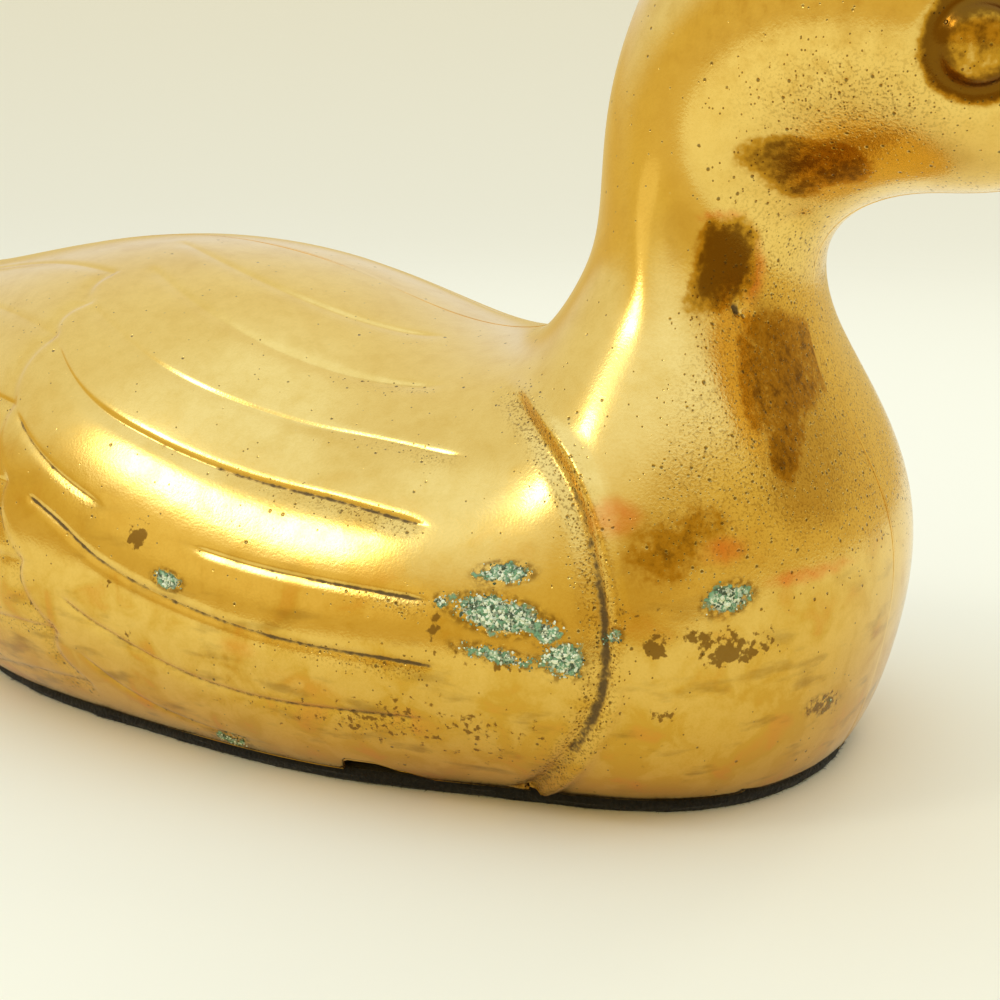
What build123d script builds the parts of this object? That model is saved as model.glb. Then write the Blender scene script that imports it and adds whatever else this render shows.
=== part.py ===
from build123d import *
import os
from math import copysign, cos, hypot, pi, sin

# Hollow brass duck, sand cast as two half shells that are brazed together along the middle plane.
# The bill points to +X, the duck's left side is +Y, and the table is at z = 0.

# Sizes of the figure, in millimetres
overall_length = 170.0
crown_height = 82.0
half_width = 34.5
wall_thickness = 2.5

# The metal is solid for these lengths at the tail and at the bill
solid_tail_length = 16.0
solid_bill_length = 19.0

# Joint between the two castings
seam_gap = 0.3
flash_height = 0.8

# Sole
felt_thickness = 1.3
felt_inset = 0.6
card_thickness = 1.0
card_clearance = 1.2

# Eye ring
eye_x_share = 0.321
eye_z_share = 0.785
eye_ring_radius = 3.7
eye_groove_radius = 0.9
eye_groove_depth = 0.6

# Each row is one section through the figure, from the tail to the bill. It gives the top point and the
# bottom point as shares of the length and of the height, the half width as a share of half_width, how far
# the widest place sits below the middle, and how full the upper and the lower flank are.
section_shares = [
    ((-0.500, 0.524), (-0.500, 0.506), 0.130, 0.00, 0.00, 0.00),
    ((-0.465, 0.502), (-0.471, 0.445), 0.275, 0.00, 0.10, 0.00),
    ((-0.412, 0.498), (-0.429, 0.348), 0.420, 0.00, 0.10, 0.00),
    ((-0.353, 0.512), (-0.385, 0.183), 0.595, 0.02, 0.10, 0.00),
    ((-0.282, 0.539), (-0.335, -0.006), 0.780, 0.03, 0.10, -0.06),
    ((-0.188, 0.559), (-0.224, -0.073), 0.955, 0.04, 0.06, 0.00),
    ((-0.082, 0.533), (-0.094, -0.085), 1.000, 0.05, 0.03, 0.00),
    ((0.000, 0.483), (0.024, -0.079), 0.985, 0.055, 0.00, 0.00),
    ((0.053, 0.471), (0.132, -0.049), 0.940, 0.05, 0.00, 0.00),
    ((0.088, 0.505), (0.237, -0.012), 0.830, 0.05, 0.00, -0.10),
    ((0.105, 0.561), (0.266, 0.110), 0.710, 0.06, 0.00, 0.03),
    ((0.111, 0.622), (0.270, 0.293), 0.550, 0.06, 0.00, 0.00),
    ((0.112, 0.695), (0.233, 0.451), 0.435, 0.04, 0.00, 0.00),
    ((0.118, 0.780), (0.224, 0.571), 0.380, 0.00, 0.00, 0.00),
    ((0.145, 0.902), (0.256, 0.633), 0.405, 0.00, 0.00, 0.00),
    ((0.206, 0.994), (0.294, 0.643), 0.450, 0.00, 0.00, 0.00),
    ((0.288, 0.988), (0.324, 0.649), 0.420, 0.00, 0.00, 0.00),
    ((0.347, 0.909), (0.359, 0.665), 0.320, 0.00, 0.00, 0.00),
    ((0.394, 0.811), (0.400, 0.677), 0.260, 0.00, 0.00, 0.00),
    ((0.444, 0.756), (0.450, 0.683), 0.260, 0.00, 0.00, 0.00),
    ((0.482, 0.732), (0.484, 0.690), 0.225, 0.00, 0.00, 0.00),
    ((0.500, 0.720), (0.500, 0.703), 0.120, 0.00, 0.00, 0.00),
]

# How high a section is, as a share of the wall, where the metal can be hollow
hollow_height_share = 4.0

# Points of each half section's curve
section_points = 12


def top_point(row):
    """Top point (x, z) of a section in millimetres."""
    (x_share, z_share), _, _, _, _, _ = row
    return x_share * overall_length, z_share * crown_height


def bottom_point(row):
    """Bottom point (x, z) of a section in millimetres."""
    _, (x_share, z_share), _, _, _, _ = row
    return x_share * overall_length, z_share * crown_height


def section_height(row):
    """How long a section is from its top point to its bottom point."""
    (top_x, top_z), (bottom_x, bottom_z) = top_point(row), bottom_point(row)
    return hypot(top_x - bottom_x, top_z - bottom_z)


def unit(x, z):
    """The same direction with length 1."""
    return x / hypot(x, z), z / hypot(x, z)


def skin_slope(points, index, up_x, up_z):
    """How squarely a section meets the skin at one of its ends: 1 is square on."""
    before, after = points[max(index - 1, 0)], points[min(index + 1, len(points) - 1)]
    run_x, run_z = unit(after[0] - before[0], after[1] - before[1])
    return abs(run_x * up_z - run_z * up_x)


def half_sections(first, last, inset):
    """Faces of the left half's sections, from section first to section last, taken in by inset."""
    tops = [top_point(row) for row in section_shares]
    bottoms = [bottom_point(row) for row in section_shares]
    faces = []
    for index in range(first, last + 1):
        _, _, width_share, drop_share, upper_share, lower_share = section_shares[index]
        (top_x, top_z), (bottom_x, bottom_z) = tops[index], bottoms[index]
        up_x, up_z = unit(top_x - bottom_x, top_z - bottom_z)
        top_inset = inset / skin_slope(tops, index, up_x, up_z)
        top_x -= top_inset * up_x
        top_z -= top_inset * up_z
        if bottom_z < felt_thickness:
            # This section runs down past the open rim, so its wall is taken off level.
            bottom_x -= copysign(inset, bottom_x)
        else:
            bottom_inset = inset / skin_slope(bottoms, index, up_x, up_z)
            bottom_x += bottom_inset * up_x
            bottom_z += bottom_inset * up_z
        width = width_share * half_width - inset
        span = hypot(top_x - bottom_x, top_z - bottom_z)
        up_x, up_z = unit(top_x - bottom_x, top_z - bottom_z)
        section_plane = Plane(origin=(top_x, 0, top_z), x_dir=(0, 1, 0), z_dir=(up_z, 0, -up_x))
        outline = []
        for step in range(section_points + 1):
            turn = pi * step / section_points
            drop = (1 - cos(turn)) / 2 + drop_share * sin(turn) ** 2
            fullness = (upper_share + lower_share) / 2 + (upper_share - lower_share) / 2 * cos(turn)
            outline.append((width * sin(turn) * (1 + fullness * cos(turn) ** 2), -drop * span))
        with BuildSketch(section_plane) as half_section:
            with BuildLine():
                Spline(*outline, tangents=((1, 0), (-1, 0)))
                Line(outline[-1], outline[0])
            make_face()
        faces.append(half_section.sketch.face())
    return faces


os.makedirs("parts", exist_ok=True)

# Planes of the open rim and of the joint, and those that end the hollow
rim_plane = Plane.XY.offset(felt_thickness)
seam_plane = Plane.XZ.offset(-seam_gap / 2)
tail_plane = Plane.YZ.offset(solid_tail_length - overall_length / 2)
bill_plane = Plane.YZ.offset(overall_length / 2 - solid_bill_length)

# The hollow and the sole follow the sections that are well over two walls high.
last_section = len(section_shares) - 1
hollow_height = wall_thickness * hollow_height_share
hollow_sections = [index for index, row in enumerate(section_shares) if section_height(row) > hollow_height]
first_hollow, last_hollow = hollow_sections[0], hollow_sections[-1]

# The figure's left half as solid metal, and the same half cut off level at the rim
with BuildPart() as left_figure:
    loft(half_sections(0, last_section, 0))

with BuildPart() as standing_figure:
    add(left_figure.part)
    split(bisect_by=rim_plane, keep=Keep.TOP)

# The hollow inside it, up to the wall and up to the brazing flash
with BuildPart() as left_hollow:
    loft(half_sections(first_hollow, last_hollow, wall_thickness))
    split(bisect_by=tail_plane, keep=Keep.TOP)
    split(bisect_by=bill_plane, keep=Keep.BOTTOM)

with BuildPart() as flash_hollow:
    loft(half_sections(first_hollow, last_hollow, wall_thickness + flash_height))
    split(bisect_by=tail_plane, keep=Keep.TOP)
    split(bisect_by=bill_plane, keep=Keep.BOTTOM)

# Eye ring: a round groove in the cheek, square to the skin
eye_line = Axis((eye_x_share * overall_length, 0, eye_z_share * crown_height), (0, 1, 0))
eye_spot, eye_direction = left_figure.part.find_intersection_points(eye_line)[-1]
eye_plane = Plane(origin=eye_spot, z_dir=eye_direction).offset(eye_groove_radius - eye_groove_depth)

with BuildPart() as eye_ring:
    with Locations(Location(eye_plane)):
        Torus(major_radius=eye_ring_radius, minor_radius=eye_groove_radius)

# Left casting
with BuildPart() as left_half_shell:
    add(standing_figure.part)
    add(left_hollow.part, mode=Mode.SUBTRACT)
    split(bisect_by=seam_plane, keep=Keep.BOTTOM)
    add(eye_ring.part, mode=Mode.SUBTRACT)

left_half_shell.part.label = "left_half_shell"
export_step(left_half_shell.part, "parts/left_half_shell.step")

# Right casting, the mirror image
with BuildPart() as right_half_shell:
    mirror(left_half_shell.part, about=Plane.XZ)

right_half_shell.part.label = "right_half_shell"
export_step(right_half_shell.part, "parts/right_half_shell.step")

# Brazing metal: it fills the gap and stands a little way into the hollow as flash
figure_profile = section(standing_figure.part, section_by=seam_plane).face()
flash_profile = section(flash_hollow.part, section_by=seam_plane).face()

with BuildPart() as seam_braze:
    extrude(figure_profile, amount=seam_gap, dir=(0, -1, 0))
    extrude(flash_profile, amount=seam_gap, dir=(0, -1, 0), mode=Mode.SUBTRACT)

seam_braze.part.label = "seam_braze"
export_step(seam_braze.part, "parts/seam_braze.step")

# Felt sole, glued under the rim and cut a little smaller than it
with BuildPart() as felt_core:
    loft(half_sections(first_hollow, last_hollow, felt_inset))

with BuildPart() as felt_pad:
    extrude(section(felt_core.part, section_by=rim_plane).face(), amount=felt_thickness, dir=(0, 0, -1))
    mirror(about=Plane.XZ)

felt_pad.part.label = "felt_pad"
export_step(felt_pad.part, "parts/felt_pad.step")

# Card inside the mouth, lying on the felt
with BuildPart() as card_core:
    loft(half_sections(first_hollow, last_hollow, wall_thickness + card_clearance))

with BuildPart() as backing_card:
    extrude(section(card_core.part, section_by=rim_plane).face(), amount=card_thickness, dir=(0, 0, 1))
    mirror(about=Plane.XZ)

backing_card.part.label = "backing_card"
export_step(backing_card.part, "parts/backing_card.step")
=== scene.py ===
"""Looks of a brass duck: a hollow casting in two halves, its brazed joint and its felt sole.

The duck faces +X, its left side is +Y and it stands on z = 0. Every length is in metres.
"""

import logging
import math
from dataclasses import dataclass, field
from enum import Enum
from typing import Any, Iterable, Sequence

import bmesh
import bpy
import numpy as np
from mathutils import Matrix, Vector


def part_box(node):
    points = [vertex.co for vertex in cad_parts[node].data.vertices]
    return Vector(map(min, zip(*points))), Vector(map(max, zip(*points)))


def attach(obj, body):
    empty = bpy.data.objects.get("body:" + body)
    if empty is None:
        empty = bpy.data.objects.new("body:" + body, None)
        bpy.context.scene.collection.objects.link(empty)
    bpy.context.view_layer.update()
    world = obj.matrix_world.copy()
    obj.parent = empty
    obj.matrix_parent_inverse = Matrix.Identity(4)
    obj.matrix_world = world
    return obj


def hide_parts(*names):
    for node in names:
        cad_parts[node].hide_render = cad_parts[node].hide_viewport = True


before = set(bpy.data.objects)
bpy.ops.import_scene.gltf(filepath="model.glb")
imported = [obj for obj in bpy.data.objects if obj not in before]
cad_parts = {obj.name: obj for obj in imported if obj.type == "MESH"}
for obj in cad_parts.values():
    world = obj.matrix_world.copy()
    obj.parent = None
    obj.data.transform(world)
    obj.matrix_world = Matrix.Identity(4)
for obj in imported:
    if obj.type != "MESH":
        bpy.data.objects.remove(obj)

LOG = logging.getLogger("brass_duck")
MM = 0.001
BODY = "root"

Colour = tuple[float, float, float, float]
Array = np.ndarray


class Side(Enum):
    """Which half of the duck a piece belongs to: the value is the sign of y there."""

    RIGHT = -1
    LEFT = 1


@dataclass(frozen=True)
class DuckSizes:
    """Driving sizes of the figure."""

    length: float
    half_width: float
    seam_gap: float
    rim: float
    crown: float = 82.0 * MM
    wall: float = 2.5 * MM
    flash: float = 0.8 * MM
    felt_inset: float = 0.6 * MM
    tip_round: float = 0.9 * MM

    @classmethod
    def from_frame(cls) -> "DuckSizes":
        """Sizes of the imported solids, read from their boxes.

        Returns:
            The sizes.
        """
        low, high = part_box("right_half_shell")
        seam_low, seam_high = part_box("seam_braze")
        return cls(
            length=high.x - low.x, half_width=-low.y, seam_gap=seam_high.y - seam_low.y, rim=low.z
        )


# Each row is one section, from the tail to the bill: the top point and the bottom point as shares of the
# length and of the height, the half width as a share, how far the widest place sits below the middle, and
# how full the upper and the lower flank are.
SECTION_SHARES = (
    ((-0.500, 0.524), (-0.500, 0.506), 0.130, 0.00, 0.00, 0.00),
    ((-0.465, 0.502), (-0.471, 0.445), 0.275, 0.00, 0.10, 0.00),
    ((-0.412, 0.498), (-0.429, 0.348), 0.420, 0.00, 0.10, 0.00),
    ((-0.353, 0.512), (-0.385, 0.183), 0.595, 0.02, 0.10, 0.00),
    ((-0.282, 0.539), (-0.335, -0.006), 0.780, 0.03, 0.10, -0.06),
    ((-0.188, 0.559), (-0.224, -0.073), 0.955, 0.04, 0.06, 0.00),
    ((-0.082, 0.533), (-0.094, -0.085), 1.000, 0.05, 0.03, 0.00),
    ((0.000, 0.483), (0.024, -0.079), 0.985, 0.055, 0.00, 0.00),
    ((0.053, 0.471), (0.132, -0.049), 0.940, 0.05, 0.00, 0.00),
    ((0.088, 0.505), (0.237, -0.012), 0.830, 0.05, 0.00, -0.10),
    ((0.105, 0.561), (0.266, 0.110), 0.710, 0.06, 0.00, 0.03),
    ((0.111, 0.622), (0.270, 0.293), 0.550, 0.06, 0.00, 0.00),
    ((0.112, 0.695), (0.233, 0.451), 0.435, 0.04, 0.00, 0.00),
    ((0.118, 0.780), (0.224, 0.571), 0.380, 0.00, 0.00, 0.00),
    ((0.145, 0.902), (0.256, 0.633), 0.405, 0.00, 0.00, 0.00),
    ((0.206, 0.994), (0.294, 0.643), 0.450, 0.00, 0.00, 0.00),
    ((0.288, 0.988), (0.324, 0.649), 0.420, 0.00, 0.00, 0.00),
    ((0.347, 0.909), (0.359, 0.665), 0.320, 0.00, 0.00, 0.00),
    ((0.394, 0.811), (0.400, 0.677), 0.260, 0.00, 0.00, 0.00),
    ((0.444, 0.756), (0.450, 0.683), 0.260, 0.00, 0.00, 0.00),
    ((0.482, 0.732), (0.484, 0.690), 0.225, 0.00, 0.00, 0.00),
    ((0.500, 0.720), (0.500, 0.703), 0.120, 0.00, 0.00, 0.00),
)

LAST_SECTION = len(SECTION_SHARES) - 1

# Sections where the hollow begins and ends, and the stations where its two end walls stand
HOLLOW_FIRST, HOLLOW_LAST = 2, 18
HOLLOW_TAIL, HOLLOW_BILL = 2.35, 17.7

# First and last station of the stretches of a half shell's edge: belly, back, tail and rim
EDGE_MARKS = ((9.1, HOLLOW_BILL), (HOLLOW_BILL, HOLLOW_TAIL), (HOLLOW_TAIL, 4.0), (4.0, 9.1))

# Keeps the keys of an inner edge clear of whole numbers, so that the solid ends fan out from its end points
KEY_MARGIN = 1e-6

# First and last station where the rim is looked for, and how many places are tried
RIM_PROBE = (3, 10, 7001)

# Columns whose last turn is less than this end at the rim, and the others on the belly
BELLY_TURN = math.pi - 1e-6

# How small the sections become at the rounded tips, as a share
TIP_LEAST = 0.02


def smooth(low: float, high: float, value: Array) -> Array:
    """Smooth rise from 0 at low to 1 at high."""
    share = np.clip((np.asarray(value, float) - low) / (high - low), 0, 1)
    return share * share * (3 - 2 * share)


def window(begin: tuple[float, float], end: tuple[float, float], value: Array) -> Array:
    """1 between two smooth edges, and 0 beyond them."""
    return smooth(*begin, value) * smooth(*end, value)


class Spline:
    """Natural cubic spline through rows of values."""

    def __init__(self, knots: Array, values: Array) -> None:
        """Solves for the bends.

        Args:
            knots: Rising places of the rows.
            values: One row of values at each knot.
        """
        count = len(knots)
        gaps = np.diff(knots)
        matrix = np.eye(count)
        right = np.zeros(values.shape)
        for i in range(1, count - 1):
            matrix[i, i - 1 : i + 2] = gaps[i - 1], 2 * (gaps[i - 1] + gaps[i]), gaps[i]
            right[i] = 6 * ((values[i + 1] - values[i]) / gaps[i] - (values[i] - values[i - 1]) / gaps[i - 1])
        self.knots, self.values, self.gaps = knots, values, gaps
        self.bends = np.linalg.solve(matrix, right)

    def at(self, places: Array) -> Array:
        """Values at the places, with the values along the last axis.

        Args:
            places: Where the values are wanted.

        Returns:
            The values there.
        """
        places = np.asarray(places, float)
        flat = places.ravel()
        span = np.clip(np.searchsorted(self.knots, flat, side="right") - 1, 0, len(self.gaps) - 1)
        ahead = (flat - self.knots[span])[:, None]
        gap = self.gaps[span][:, None]
        here, there = self.values[span], self.values[span + 1]
        bend, next_bend = self.bends[span], self.bends[span + 1]
        slope = (there - here) / gap - gap * (2 * bend + next_bend) / 6
        found = here + slope * ahead + bend / 2 * ahead**2 + (next_bend - bend) / (6 * gap) * ahead**3
        return found.reshape(places.shape + (self.values.shape[1],))


class Figure:
    """The smooth skin of the duck's left half, as a fan of sections.

    A place on it is a station, counted in sections from the tail, and a turn, from 0 on the back to pi
    on the belly.
    """

    def __init__(
        self, sizes: DuckSizes, inset: float = 0.0, first: int = 0, last: int = LAST_SECTION
    ) -> None:
        """Makes the skin, or a skin inside it.

        Args:
            sizes: The duck's sizes.
            inset: How far inside the outer skin this one lies.
            first: First section that it runs through.
            last: Last section that it runs through.
        """
        self.sizes, self.first, self.last = sizes, first, last
        rows = np.array([(*top, *bottom, *rest) for top, bottom, *rest in SECTION_SHARES])
        rows *= (sizes.length, sizes.crown, sizes.length, sizes.crown, sizes.half_width, 1, 1, 1)
        steps = np.diff(rows[:, :5], axis=0)
        way = np.r_[0, np.cumsum(np.sqrt((steps**2).sum(1) / 2))]
        if inset:
            rows = self._take_in(rows, inset)
        self.way = way[first : last + 1]
        self.spline = Spline(self.way, rows[first : last + 1])

    def _take_in(self, rows: Array, inset: float) -> Array:
        """The same sections with the wall's thickness taken off.

        Args:
            rows: The sections' values.
            inset: How much is taken off.

        Returns:
            The new values.
        """
        taken = rows.copy()
        for low, high in ((0, 2), (2, 0)):
            ends, others = rows[:, low : low + 2], rows[:, high : high + 2]
            across = (ends - others) / np.linalg.norm(ends - others, axis=1)[:, None]
            run = np.gradient(ends, axis=0)
            run /= np.linalg.norm(run, axis=1)[:, None]
            slope = np.abs(run[:, 0] * across[:, 1] - run[:, 1] * across[:, 0])
            moved = ends - across * (inset / slope)[:, None]
            if low:
                level = ends - np.c_[np.copysign(inset, ends[:, 0]), np.zeros(len(ends))]
                moved = np.where(ends[:, 1:] < self.sizes.rim, level, moved)
            taken[:, low : low + 2] = moved
        taken[:, 4] -= inset
        return taken

    def _row(self, station: Array) -> Array:
        """The section's values at a station."""
        return self.spline.at(np.interp(station, np.arange(self.first, self.last + 1), self.way))

    def point(self, station: Array, turn: Array) -> Array:
        """Points of the skin.

        Args:
            station: Stations, which broadcast with the turns.
            turn: Turns from 0 to pi.

        Returns:
            The points, with x, y and z along the last axis.
        """
        station, turn = np.broadcast_arrays(np.asarray(station, float), np.asarray(turn, float))
        top_x, top_z, low_x, low_z, width, drop, upper, lower = np.moveaxis(self._row(station), -1, 0)
        share = (1 - np.cos(turn)) / 2 + drop * np.sin(turn) ** 2
        fullness = (upper + lower) / 2 + (upper - lower) / 2 * np.cos(turn)
        out = width * np.sin(turn) * (1 + fullness * np.cos(turn) ** 2)
        return np.stack([top_x + share * (low_x - top_x), out, top_z + share * (low_z - top_z)], -1)

    def normal(self, station: Array, turn: Array) -> Array:
        """Outward unit normals of the skin.

        Args:
            station: Stations, which broadcast with the turns.
            turn: Turns from 0 to pi.

        Returns:
            The normals, with x, y and z along the last axis.
        """
        step = 1e-3
        along = self.point(np.minimum(station + step, self.last), turn)
        along = along - self.point(np.maximum(station - step, self.first), turn)
        around = self.point(station, turn + step) - self.point(station, turn - step)
        cross = np.cross(along, around)
        return cross / (np.linalg.norm(cross, axis=-1, keepdims=True) + 1e-15)

    def centre(self, station: Array) -> Array:
        """Middle of the section at a station.

        Args:
            station: Stations.

        Returns:
            The middles, with x, y and z along the last axis.
        """
        row = self._row(station)
        x, z = (row[..., 0] + row[..., 2]) / 2, (row[..., 1] + row[..., 3]) / 2
        return np.stack([x, np.zeros_like(x), z], -1)

    def turn_at_height(self, station: Array, height: float | Array) -> Array:
        """The turn at which a section comes down to a height, or pi if it stays above it.

        Args:
            station: Stations.
            height: The height, or one for each of them.

        Returns:
            The turns.
        """
        row = self._row(station)
        share = (height - row[..., 1]) / (row[..., 3] - row[..., 1])
        drop = np.maximum(row[..., 5], 1e-6)
        root = np.sqrt(np.maximum(0.25 - 4 * drop * (share - 0.5 - drop), 0))
        cosine = np.clip((root - 0.5) / (2 * drop), -1, 1)
        return np.where(share >= 1, math.pi, np.arccos(cosine))

    def rim_line(self) -> tuple[Array, Array]:
        """Places close together where the skin comes down to the rim.

        Returns:
            Their stations and turns.
        """
        probe = np.linspace(*RIM_PROBE)
        turns = self.turn_at_height(probe, self.sizes.rim)
        standing = turns < math.pi
        return probe[standing], turns[standing]


class Cut(Enum):
    """How a carved line is cut."""

    FEATHER = "a step whose upper edge is sharp and whose lower side eases out"
    CREASE = "an even groove"
    RIDGE = "a raised rim with a groove behind it"


# How many stations are about as long as a half turn
HALF_TURN_STATIONS = 12


@dataclass(frozen=True)
class CarvedLine:
    """A line carved in the skin.

    Its stops are stations and turns as shares of a half turn. Sharp and wide are its reach on the upper and
    on the lower side, fade is how long it takes to begin and to end, and grime_and_shade is how much dirt and
    painted shade it gathers.
    """

    cut: Cut
    stops: tuple[tuple[float, float], ...]
    depth: float
    wide: float
    sharp: float = 0.22 * MM
    fade: tuple[float, float] = (3.0 * MM, 3.0 * MM)
    grime_and_shade: tuple[float, ...] = (0.2, 0.8)

    def places(self, count: int = 70) -> Array:
        """Stations and turns along the line, close together.

        Args:
            count: How many places.

        Returns:
            Rows of a station and a turn share.
        """
        stops = np.array(self.stops)
        steps = np.diff(stops * (1, HALF_TURN_STATIONS), axis=0)
        way = np.r_[0, np.cumsum(np.linalg.norm(steps, axis=1))]
        return Spline(way, stops).at(np.linspace(0, way[-1], count))

    def path(self, figure: Figure) -> Array:
        """Points of the skin along the line."""
        places = self.places()
        return figure.point(places[:, 0], places[:, 1] * math.pi)


# The wing's feather lines, from the back down. The fifth is broken: it has a rear and a front part.
FEATHER_LINES = (
    CarvedLine(
        Cut.FEATHER, ((5.06, 0.042), (5.45, 0.072), (5.90, 0.093), (6.60, 0.094), (7.38, 0.069)),
        0.15 * MM, 1.0 * MM, sharp=0.4 * MM, grime_and_shade=(0.0, 0.1),
    ),
    CarvedLine(
        Cut.FEATHER, ((5.23, 0.115), (5.65, 0.150), (6.15, 0.172), (7.00, 0.172), (7.91, 0.163)),
        0.19 * MM, 1.0 * MM, sharp=0.35 * MM, grime_and_shade=(0.0, 0.1, 0.45),
    ),
    CarvedLine(
        Cut.FEATHER,
        ((5.14, 0.190), (5.35, 0.207), (5.93, 0.244), (6.73, 0.246), (7.48, 0.243), (8.50, 0.272)),
        0.20 * MM, 0.9 * MM, sharp=0.3 * MM, grime_and_shade=(0.0, 0.15, 0.55),
    ),
    CarvedLine(
        Cut.FEATHER, ((5.12, 0.243), (5.75, 0.308), (6.39, 0.319), (7.27, 0.318), (8.20, 0.347)),
        0.25 * MM, 0.85 * MM, sharp=0.25 * MM, grime_and_shade=(0.1, 0.35, 0.75, 0.85),
    ),
    CarvedLine(
        Cut.FEATHER, ((5.13, 0.329), (5.29, 0.353), (5.64, 0.385), (5.90, 0.399)),
        0.17 * MM, 0.55 * MM, grime_and_shade=(0.7, 0.45),
    ),
    CarvedLine(
        Cut.FEATHER, ((6.45, 0.405), (7.24, 0.407), (8.22, 0.429)),
        0.16 * MM, 0.45 * MM, grime_and_shade=(0.3, 0.7, 0.95),
    ),
    CarvedLine(
        Cut.FEATHER,
        ((5.41, 0.413), (5.67, 0.432), (5.88, 0.452), (6.53, 0.471), (7.30, 0.484), (8.15, 0.505)),
        0.20 * MM, 0.55 * MM, fade=(1.0 * MM, 2.5 * MM), grime_and_shade=(0.9, 0.6, 0.7, 0.95),
    ),
    CarvedLine(
        Cut.FEATHER,
        ((5.68, 0.514), (5.85, 0.530), (6.05, 0.542), (6.43, 0.558), (7.20, 0.567), (7.95, 0.581)),
        0.18 * MM, 0.5 * MM, fade=(1.0 * MM, 2.5 * MM), grime_and_shade=(0.6, 0.5, 0.7, 0.6),
    ),
    CarvedLine(
        Cut.FEATHER,
        ((5.74, 0.585), (5.90, 0.615), (6.05, 0.635), (6.28, 0.650), (6.70, 0.658)),
        0.15 * MM, 0.5 * MM, grime_and_shade=(0.45, 0.25),
    ),
)

FIFTH_REAR, FIFTH_FRONT = 4, 5

# The rear edge of the wing: nodes where the tail lines meet it, with the feather tips between them
WING_NODES = (
    (5.07, 0.136), (5.13, 0.188), (5.10, 0.238), (5.10, 0.325),
    (5.24, 0.407), (5.42, 0.487), (5.61, 0.564), (5.72, 0.640),
)
TIP_BULGE = 0.075
TIP_SHARES = (0.0, 0.12, 0.30, 0.50, 0.70, 0.88)

TAIL_LINES = (
    ((1.30, 0.20), (2.60, 0.13), (4.09, 0.110), (5.07, 0.136)),
    ((1.30, 0.36), (2.60, 0.26), (4.00, 0.205), (5.10, 0.238)),
    ((1.50, 0.52), (2.80, 0.40), (4.00, 0.315), (5.10, 0.325)),
    ((2.30, 0.60), (3.40, 0.48), (4.30, 0.415), (5.24, 0.407)),
    ((3.10, 0.64), (3.90, 0.555), (4.70, 0.500), (5.42, 0.487)),
    ((3.70, 0.70), (4.30, 0.630), (5.00, 0.580), (5.61, 0.564)),
    ((4.40, 0.76), (4.90, 0.690), (5.35, 0.655), (5.72, 0.640)),
)

BREAST_RIDGE = CarvedLine(
    Cut.RIDGE,
    (
        (8.69, 0.185), (9.10, 0.245), (9.38, 0.300), (9.60, 0.364), (9.63, 0.422),
        (9.53, 0.470), (9.38, 0.510), (9.17, 0.547), (8.94, 0.579), (8.66, 0.624), (8.10, 0.740),
    ),
    0.50 * MM, 0.85 * MM, sharp=0.8 * MM, fade=(7.0 * MM, 0.1 * MM),
    grime_and_shade=(0.1, 0.3, 0.45, 0.65, 0.85, 0.85, 0.5, 0.5),
)

# The mouth, the nostril and the base of the bill
BILL_LINES = (
    CarvedLine(
        Cut.CREASE, ((17.30, 0.74), (18.20, 0.66), (19.50, 0.62), (20.70, 0.60), (21.00, 0.60)),
        0.55 * MM, 0.45 * MM, fade=(2.0 * MM, 0.1 * MM), grime_and_shade=(0.9, 0.7),
    ),
    CarvedLine(
        Cut.CREASE, ((18.45, 0.33), (18.85, 0.33)),
        0.60 * MM, 0.45 * MM, fade=(0.8 * MM, 0.8 * MM), grime_and_shade=(0.9, 0.9),
    ),
    CarvedLine(
        Cut.CREASE, ((17.05, 0.02), (17.25, 0.20), (17.20, 0.40), (17.00, 0.60), (16.80, 0.80)),
        0.22 * MM, 0.9 * MM, fade=(3.0 * MM, 5.0 * MM), grime_and_shade=(0.15, 0.3),
    ),
)


@dataclass(frozen=True)
class Dimple:
    """A small hollow in the skin, with its place, radius and depth, and how dark its painted shade is."""

    station: float
    turn_share: float
    radius: float
    depth: float
    grime_and_shade: float


@dataclass(frozen=True)
class CarvingSizes:
    """Sizes that the carved lines and the eye share."""

    # How many times its own reach a line is worked out for, the power of its flanks, and its start in a fade
    reach: float = 5.0
    flank_power: float = 1.6
    head_start: float = 0.15
    end_spread: float = 0.5 * MM
    # Dirt and painted shade along a line, and a band of pits beside it that adds painted shade
    dirt_and_shade_shift: float = -0.04 * MM
    dirt_and_shade_wide: float = 0.21 * MM
    pits_shift: float = -0.7 * MM
    pits_wide: float = 0.9 * MM
    pits_along: tuple[float, float] = (0.45, 0.95)
    pits_share: float = 0.9
    rim_high: float = 0.50 * MM
    rim_shift: float = 0.75 * MM
    groove_shift: float = -0.45 * MM
    # Dirt and painted shade behind a ridge, and its band of pits
    rim_dirt_and_shade_shift: float = -0.25 * MM
    rim_dirt_and_shade_wide: float = 0.55 * MM
    rim_pits_shift: float = -0.5 * MM
    rim_pits_wide: float = 1.5 * MM
    pupil_high: float = 0.55 * MM
    ring_deep: float = 0.60 * MM
    ring_wide: float = 0.85 * MM
    # Painted shade in the eye's ring groove, and tarnish on its pupil
    ring_shade: float = 1.1
    ring_shade_wide: float = 0.95 * MM
    pupil_tarnish: float = 0.55
    pupil_share: float = 0.7
    dimple_stretch: tuple[float, float, float] = (1.0, 1.0, 1.8)
    wave_long: float = 9.5 * MM
    wave_high: float = 0.035 * MM
    marked_from: float = 2.0 * MM
    # Fine pits on the breast, between smooth edges, and round the cheek
    breast_front: tuple[float, float] = (30.0 * MM, 36.0 * MM)
    breast_top: tuple[float, float] = (62.0 * MM, 46.0 * MM)
    breast_low: tuple[float, float] = (18.0 * MM, 28.0 * MM)
    breast_pits: float = 0.50
    cheek: tuple[float, float] = (45.0 * MM, 60.0 * MM)
    cheek_wide: tuple[float, float] = (9.0 * MM, 4.5 * MM)
    cheek_pits: float = 0.65


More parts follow.
